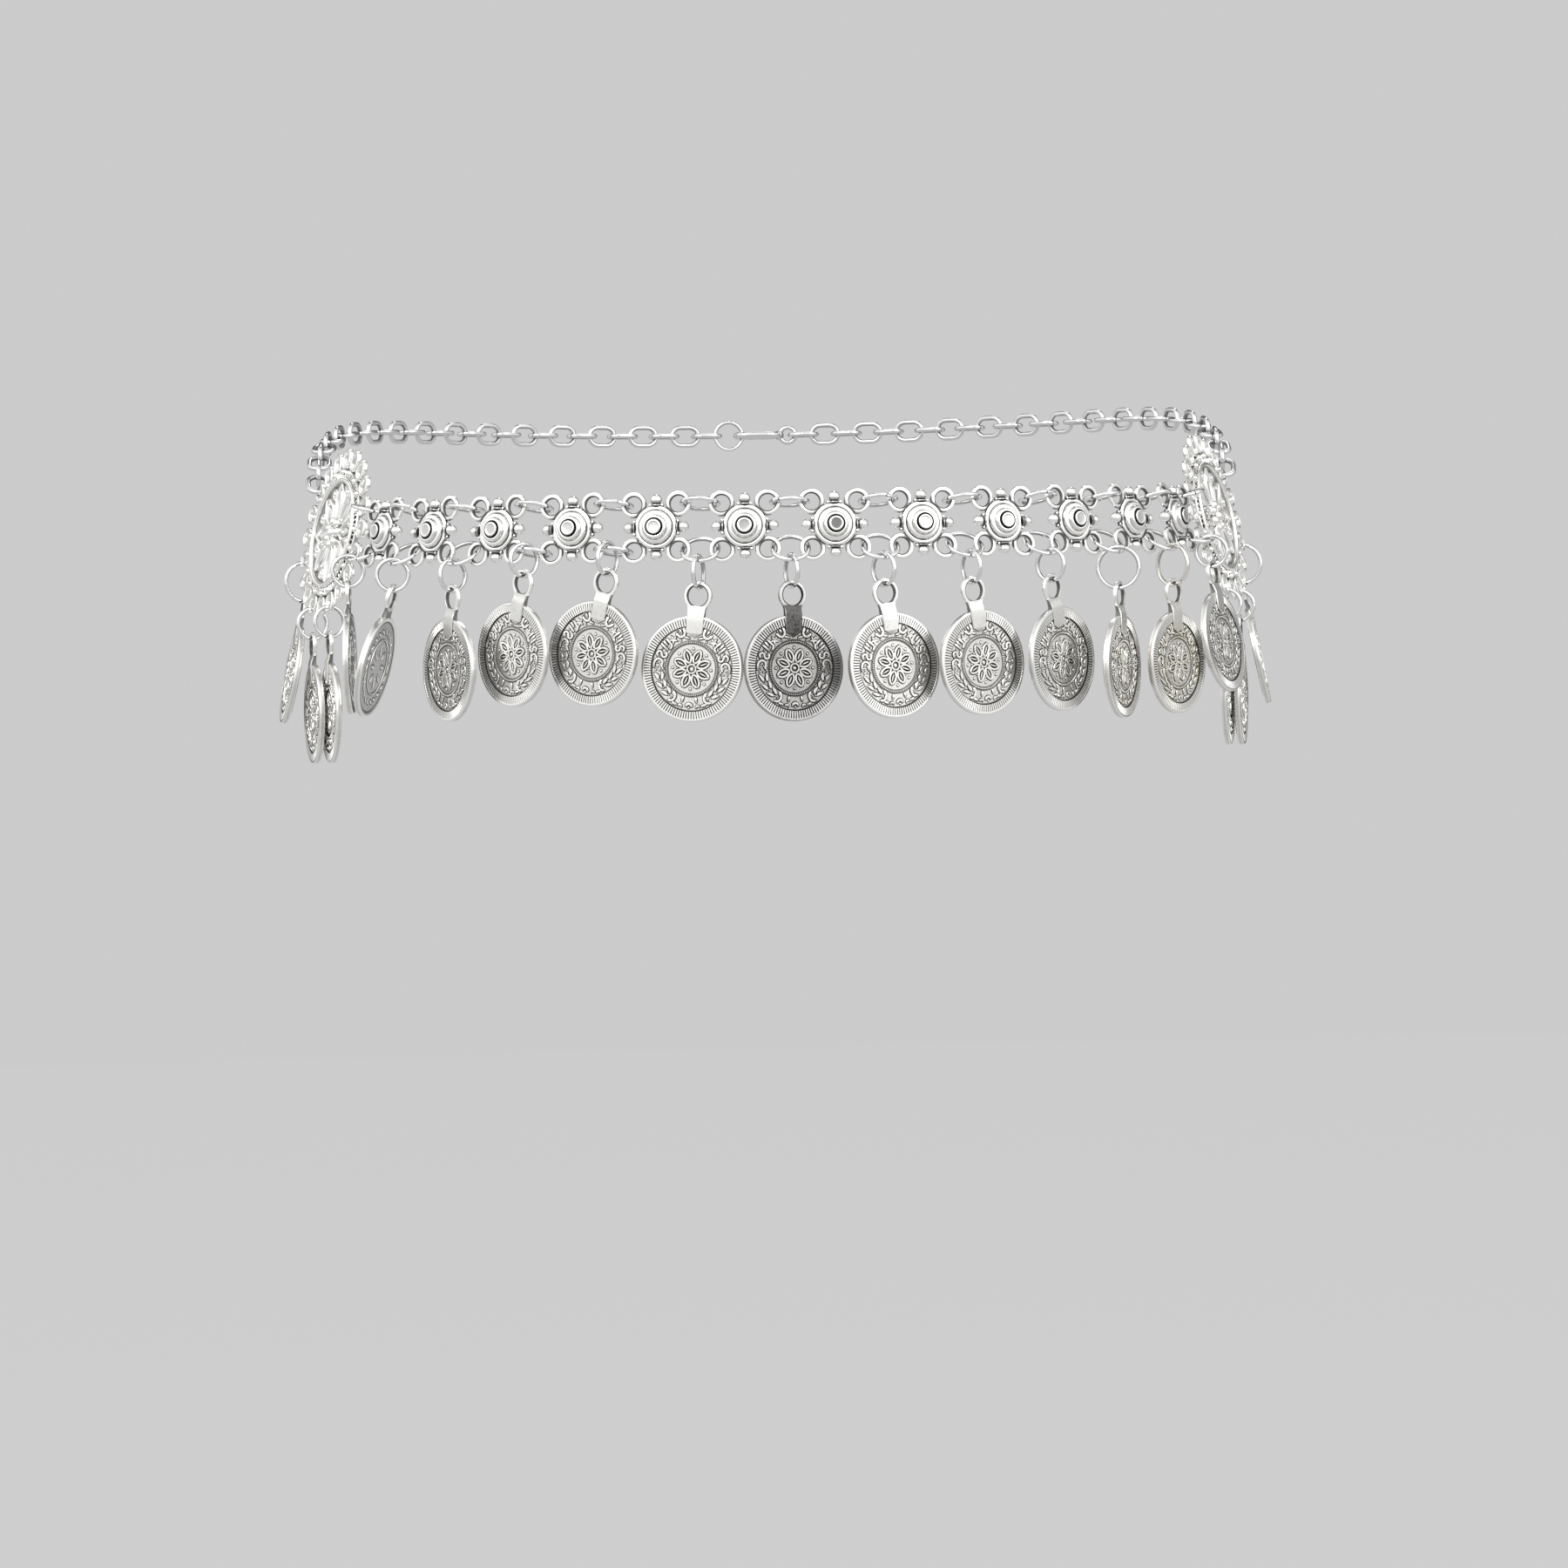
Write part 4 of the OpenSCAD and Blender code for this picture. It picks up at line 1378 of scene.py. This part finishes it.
lace = joined(lace_rim() + lace_middle())
for side, side_name in ((1, "right"), (-1, "left")):
    name = f"medallion_{side_name}"
    place = on_loop(side * MEDALLION_A, side * MEDALLION_TURN) @ FACE_FRONT
    piece(f"{name}_casting", moved(lace, place), medallion_silver, [name])
print("triangles in a medallion:", triangles["medallion_left_casting"])

# %% [markdown]
# ## The coins of the medallions
#
# Three coins hang from the lower loops of each medallion. The left side is the right
# side seen in a mirror, but only as to place: the coins themselves are not mirrored.

# %% Rings and coins below the medallions
SIDE_BRASS = 0.1
SIDE_YAW = MEDALLION_A + MEDALLION_TURN
LOOP_OUT = RIM_LOOP_AT + RIM_STRAIGHT / 2


def side_ring_place(how):
    """The place of a ring under one loop of the right medallion."""
    angle = math.radians(how["loop"])
    below = RIM_HOLE + RIM_WIRE / 2
    strand = medallion_point(1, LOOP_OUT * math.cos(angle), LOOP_OUT * math.sin(angle) - below)
    return hung_on(strand, how["ring"], SIDE_HANG, SIDE_YAW)


for side, side_name in ((1, "right"), (-1, "left")):
    ring_places = [side_ring_place(how) for how in SIDE_COINS]
    for k, (how, ring) in enumerate(zip(SIDE_COINS, ring_places), start=1):
        hang = coin_place(ring, how["ring"], SIDE_YAW + how["turn"], 0, how["tilt"])
        name = f"coin_{side_name}_{k}"
        struck = moved(coin, on_side(side, hang))
        piece(f"{name}_struck", struck, coin_silver, [name], brass_on(SIDE_BRASS))
    placed = [on_side(side, ring) for ring in ring_places]
    ring_piece(f"rings_{side_name}", placed, [how["ring"] for how in SIDE_COINS])
print("pieces so far:", len(triangles))

# %% [markdown]
# ## The back chain
#
# Round the back runs a plain chain of oval links, each rolled a quarter turn against
# the one before it. It climbs from the medallion and levels out at the back. The path
# is a curve that fades out towards the back, and each link starts one pitch after the
# last, measured along the slope.

# %% Angles of the chain's links
CHAIN_LOOP = math.radians(144)
FIRST_LINK_OUT = 3.65
CLASP_ROOM = 9.2
start_out = RIM_LOOP_AT + FIRST_LINK_OUT
chain_start = medallion_point(1, start_out * math.cos(CHAIN_LOOP), start_out * math.sin(CHAIN_LOOP))
start_a = math.degrees(math.atan2(chain_start.x, -chain_start.y))
chain_rise = CHAIN_TOP - chain_start.z
chain_off = math.hypot(chain_start.x, chain_start.y) - LOOP_R
chain_pitch = CHAIN_L - 2 * CHAIN_WIRE - PLAY


def fade(angle):
    """How much is left of the climb: all of it at the medallion, hardly any at the back."""
    return math.exp(-(angle - start_a) / RISE_FADE)


def chain_r(angle):
    """How far the chain lies from the middle of the loop."""
    return LOOP_R + chain_off * fade(angle)


def chain_slope(angle):
    """How steeply the chain climbs, in radians."""
    return math.atan(chain_rise / RISE_FADE * fade(angle) / math.radians(LOOP_R))


chain_angles = []
angle = start_a
while angle < 180 - turn_of(CLASP_ROOM):
    chain_angles.append(angle)
    half_way = angle + turn_of(chain_pitch / 2) * math.cos(chain_slope(angle))
    angle += turn_of(chain_pitch * LOOP_R / chain_r(half_way)) * math.cos(chain_slope(half_way))
print("links in each half of the chain:", len(chain_angles))

# %% [markdown]
# One link is swept along an oval and copied to every place. The two halves are mirror
# images, and meet at the clasp.


# %% Both halves of the chain
def chain_place(angle, roll):
    """A place on the chain, rolled about its length."""
    height = CHAIN_TOP - chain_rise * fade(angle)
    lie = turn("Y", -math.degrees(chain_slope(angle))) @ turn("X", roll)
    return turn("Z", angle) @ shift(0, -chain_r(angle), height) @ lie


link_path = oval_path(CHAIN_L - CHAIN_W, (CHAIN_W - CHAIN_WIRE) / 2, 12)
# The inner side of each chain link gets painted shade.
chain_link = wire(link_path, CHAIN_WIRE, 10, shade_painted_inside=WIRE_SHADE)
for side, side_name in ((1, "right"), (-1, "left")):
    shapes = [
        moved(chain_link, on_side(side, chain_place(angle, 90 * (k % 2))))
        for k, angle in enumerate(chain_angles)
    ]
    name = f"back_chain_{side_name}"
    piece(f"{name}_links", joined(shapes), chain_steel, [name])
print("triangles in half of the chain:", triangles["back_chain_left_links"])

# %% [markdown]
# ## The clasp
#
# The clasp is hidden in use, so it is kept plain: an eye for the chain, a small collar
# and a flat oval that the last ring passes through. Its length follows from the room
# that the two halves of the chain leave between them.

# %% Where the clasp begins and ends
CLASP_WIRE = 1.4
CLASP_W = 6.6
EYE_R = 1.7
EYE_WIRE = 1.0
chain_end = math.radians(180 - chain_angles[-1]) * LOOP_R
chain_reach = (CHAIN_L - CHAIN_WIRE) / 2
clasp_from = -chain_end + chain_reach - (CHAIN_WIRE + EYE_WIRE) / 2 - PLAY
ring_mid = chain_end - chain_reach + (CHAIN_WIRE + RING_WIRE) / 2 + PLAY - SMALL_RING_R
clasp_to = ring_mid - SMALL_RING_R + (CLASP_WIRE + RING_WIRE) / 2 + PLAY
roll = 90 * (len(chain_angles) % 2)
touch = (clasp_from + clasp_to) / 2


def at_back(touch, along, rolled):
    """A place on the straight line that touches the loop a little past its back."""
    beside = shift(along - touch, -LOOP_R, CHAIN_TOP)
    return turn("Z", 180 + turn_of(touch)) @ beside @ turn("X", rolled)


print("the clasp is", round(clasp_to - clasp_from, 1), "mm long")

# %% [markdown]
# The eye, the collar and the oval are three shapes in one piece. The oval is rolled a
# quarter turn against the eye, as each link of the chain is against the last.

# %% The clasp and its ring
KNOB_HALF = 0.2
KNOB = [  # radius, distance along the clasp, darkness
    (0.35, -1.0, 0.6), (0.9, -0.6, 0.5), (1.1, -0.1, 0.0),
    (1.1, 0.1, 0.0), (0.9, 0.6, 0.5), (0.35, 1.0, 0.6),
]
knob_at = clasp_from + 2 * EYE_R + KNOB_HALF
body_from = knob_at + KNOB_HALF
eye = wire(circle_path(EYE_R, 28), EYE_WIRE, 10)
knob = moved(lathe(KNOB, 20), turn("Y", 90))
body_l = clasp_to - body_from + CLASP_WIRE
body = wire(oval_path(body_l - CLASP_W, (CLASP_W - CLASP_WIRE) / 2, 16), CLASP_WIRE, 12)
clasp_shape = joined([
    moved(eye, at_back(touch, clasp_from + EYE_R, roll)),
    moved(knob, at_back(touch, knob_at, 0)),
    moved(body, at_back(touch, (body_from + clasp_to) / 2, 90 - roll)),
])
piece("clasp_body", clasp_shape, chain_steel, ["clasp"])
ring_piece("clasp_ring", [at_back(ring_mid, ring_mid, roll)], [SMALL_RING_R])
print("triangles in the clasp:", triangles["clasp_body"])

# %% [markdown]
# ## Do the pieces sit where their solids are?
#
# Each piece's box is compared with the box of the solids that it stands for. A mistake
# in a matrix shows here at once, long before it would be seen in a picture.

# %% Compare boxes
worst = (0.0, "")
for made in list(bpy.context.scene.objects):
    if "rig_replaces" not in made:
        continue
    corners = [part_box(node) for node in made["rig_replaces"]]
    low = np.min([c[0] for c in corners], axis=0)
    high = np.max([c[1] for c in corners], axis=0)
    points = np.array([v.co for v in made.data.vertices])
    off = max(np.abs(points.min(0) - low).max(), np.abs(points.max(0) - high).max()) / MM
    worst = max(worst, (round(float(off), 3), made.name))
print("largest difference between a piece and its solid, in mm:", worst)
print("triangles in all:", sum(triangles.values()))

# %% [markdown]
# ## Floor and light
#
# The piece hangs in the air over a pale floor, which is far below it and wide enough to
# fill the picture. The floor glows a little, so that its far edge melts into the
# backdrop instead of drawing a line.

# %% Floor
FLOOR_Z = -0.32
FLOOR_R = 4.0
FLOOR_GLOW = 0.56


def glowing_paint(name, colour, glow):
    """A dull paint that gives off a little white light."""
    material = bpy.data.materials.new(name)
    material.use_nodes = True
    shader = material.node_tree.nodes["Principled BSDF"]
    shader.inputs["Base Color"].default_value = (*colour, 1)
    shader.inputs["Roughness"].default_value = 0.9
    shader.inputs["Specular IOR Level"].default_value = 0.0
    shader.inputs["Emission Color"].default_value = (1, 1, 1, 1)
    shader.inputs["Emission Strength"].default_value = glow
    return material


floor_edge = circle_path(FLOOR_R, 96) + [0, 0, FLOOR_Z]
floor_mesh = bpy.data.meshes.new("floor")
floor_mesh.from_pydata(floor_edge.tolist(), [], [tuple(range(len(floor_edge)))])
floor_mesh.materials.append(glowing_paint("pale_floor", (0.05, 0.05, 0.05), FLOOR_GLOW))
floor = bpy.data.objects.new("floor", floor_mesh)
bpy.context.scene.collection.objects.link(floor)
print("the floor is", -FLOOR_Z, "m below the loop")

# %% [markdown]
# ### What the metal mirrors
#
# Polished metal has no look of its own: it shows what is around it. In an even white
# room it would turn flat white. So the surroundings are bright in front and at the
# sides and nearly dark behind the object, and that darkness draws the edges of every
# wire and ball. Cards round the object do the same in a real studio. The camera itself
# sees only a pale backdrop.

# %% The surroundings
BACKDROP = (0.6, 0.6, 0.6)
ROUND_THE_OBJECT = [  # from the back round by the left, the front and the right, brightness
    (0.0, 0.1), (0.05, 0.14), (0.12, 1.0), (0.24, 1.3), (0.38, 1.38), (0.5, 1.3),
    (0.62, 1.38), (0.72, 1.25), (0.81, 0.8), (0.88, 0.35), (0.95, 0.12), (1.0, 0.1),
]
UP_THE_WALL = [  # height of the direction, from straight down to straight up, brightness
    (0.0, 0.5), (0.3, 0.45), (0.42, 0.6), (0.5, 0.92),
    (0.6, 1.0), (0.75, 1.3), (0.9, 1.15), (1.0, 0.9),
]


def brightness(tree, value, stops):
    """Brightness read off a row of stops, some of them brighter than white."""
    return ramp(tree, value, [(position, (level,) * 3) for position, level in stops], "EASE")


def surroundings():
    """A bright and a dark side to mirror, and a plain backdrop for the camera."""
    world = bpy.data.worlds.new("studio")
    world.use_nodes = True
    tree = world.node_tree
    tree.nodes.clear()
    direction = add_node(tree, "ShaderNodeSeparateXYZ")
    tree.links.new(add_node(tree, "ShaderNodeTexCoord").outputs["Generated"], direction.inputs[0])
    x, y, z = direction.outputs
    turned = calc(tree, "ARCTAN2", x, calc(tree, "MULTIPLY", y, -1.0))
    around = calc(tree, "DIVIDE", turned, 2 * math.pi)
    sideways = brightness(tree, calc(tree, "ADD", around, 0.5), ROUND_THE_OBJECT)
    height = calc(tree, "ADD", calc(tree, "MULTIPLY", z, 0.5), 0.5)
    upward = brightness(tree, height, UP_THE_WALL)
    mirrored_light = add_node(tree, "ShaderNodeBackground")
    tree.links.new(calc(tree, "MULTIPLY", sideways, upward), mirrored_light.inputs["Strength"])
    backdrop = add_node(tree, "ShaderNodeBackground")
    backdrop.inputs["Color"].default_value = (*BACKDROP, 1)
    mix = add_node(tree, "ShaderNodeMixShader")
    tree.links.new(add_node(tree, "ShaderNodeLightPath").outputs["Is Camera Ray"], mix.inputs[0])
    tree.links.new(mirrored_light.outputs[0], mix.inputs[1])
    tree.links.new(backdrop.outputs[0], mix.inputs[2])
    tree.links.new(mix.outputs[0], add_node(tree, "ShaderNodeOutputWorld").inputs["Surface"])
    return world


bpy.context.scene.world = surroundings()
print("brightest spot round the object:", max(level for _, level in ROUND_THE_OBJECT))

# %% [markdown]
# ### Lights
#
# Three large round lights add soft shadows and highlights: a key from the upper left, a
# weaker fill from the right, and one from behind that edges the chain. Small lights
# would make hard sparks on polished metal.


# %% Soft lights
def soft_light(name, place, size, watts):
    """A round light that points at the middle of the loop."""
    light = bpy.data.lights.new(name, "AREA")
    light.shape = "DISK"
    light.size = size
    light.energy = watts
    lamp = bpy.data.objects.new(name, light)
    lamp.location = place
    lamp.rotation_euler = (-Vector(place)).to_track_quat("-Z", "Y").to_euler()
    bpy.context.scene.collection.objects.link(lamp)


soft_light("key_light", (-0.9, -1.3, 1.1), size=1.3, watts=15)
soft_light("fill_light", (1.1, -1.2, 0.7), size=1.6, watts=8)
soft_light("back_light", (0.2, 1.2, 1.6), size=0.8, watts=5)

# %% [markdown]
# ## Camera
#
# The picture was taken from nearly straight ahead, about a metre away and a little from
# the left, with a long lens, so the loop shows little perspective. The band is a little
# higher on its right, which is matched by rolling the camera. The lens is worked out
# from a focal length in pixels, which is what fitting a camera to a picture gives.

# %% Camera
SENSOR = 36.0
IMAGE_SIDE = 1800
FOCAL_PIXELS = 5548
CAMERA_AT = (-0.0367, -0.9915, -0.0482)
PAN = -2.2
ROLL = 1.2
camera_data = bpy.data.cameras.new("camera")
camera_data.sensor_width = SENSOR
camera_data.lens = FOCAL_PIXELS * SENSOR / IMAGE_SIDE
camera = bpy.data.objects.new("camera", camera_data)
camera.matrix_world = shift(*CAMERA_AT) @ turn("Z", PAN) @ turn("X", 90) @ turn("Z", -ROLL)
bpy.context.scene.collection.objects.link(camera)
bpy.context.scene.camera = camera
bpy.context.scene.view_settings.view_transform = "Standard"
print("lens:", round(camera_data.lens, 1), "mm")

# %% Finish
bpy.context.view_layer.update()
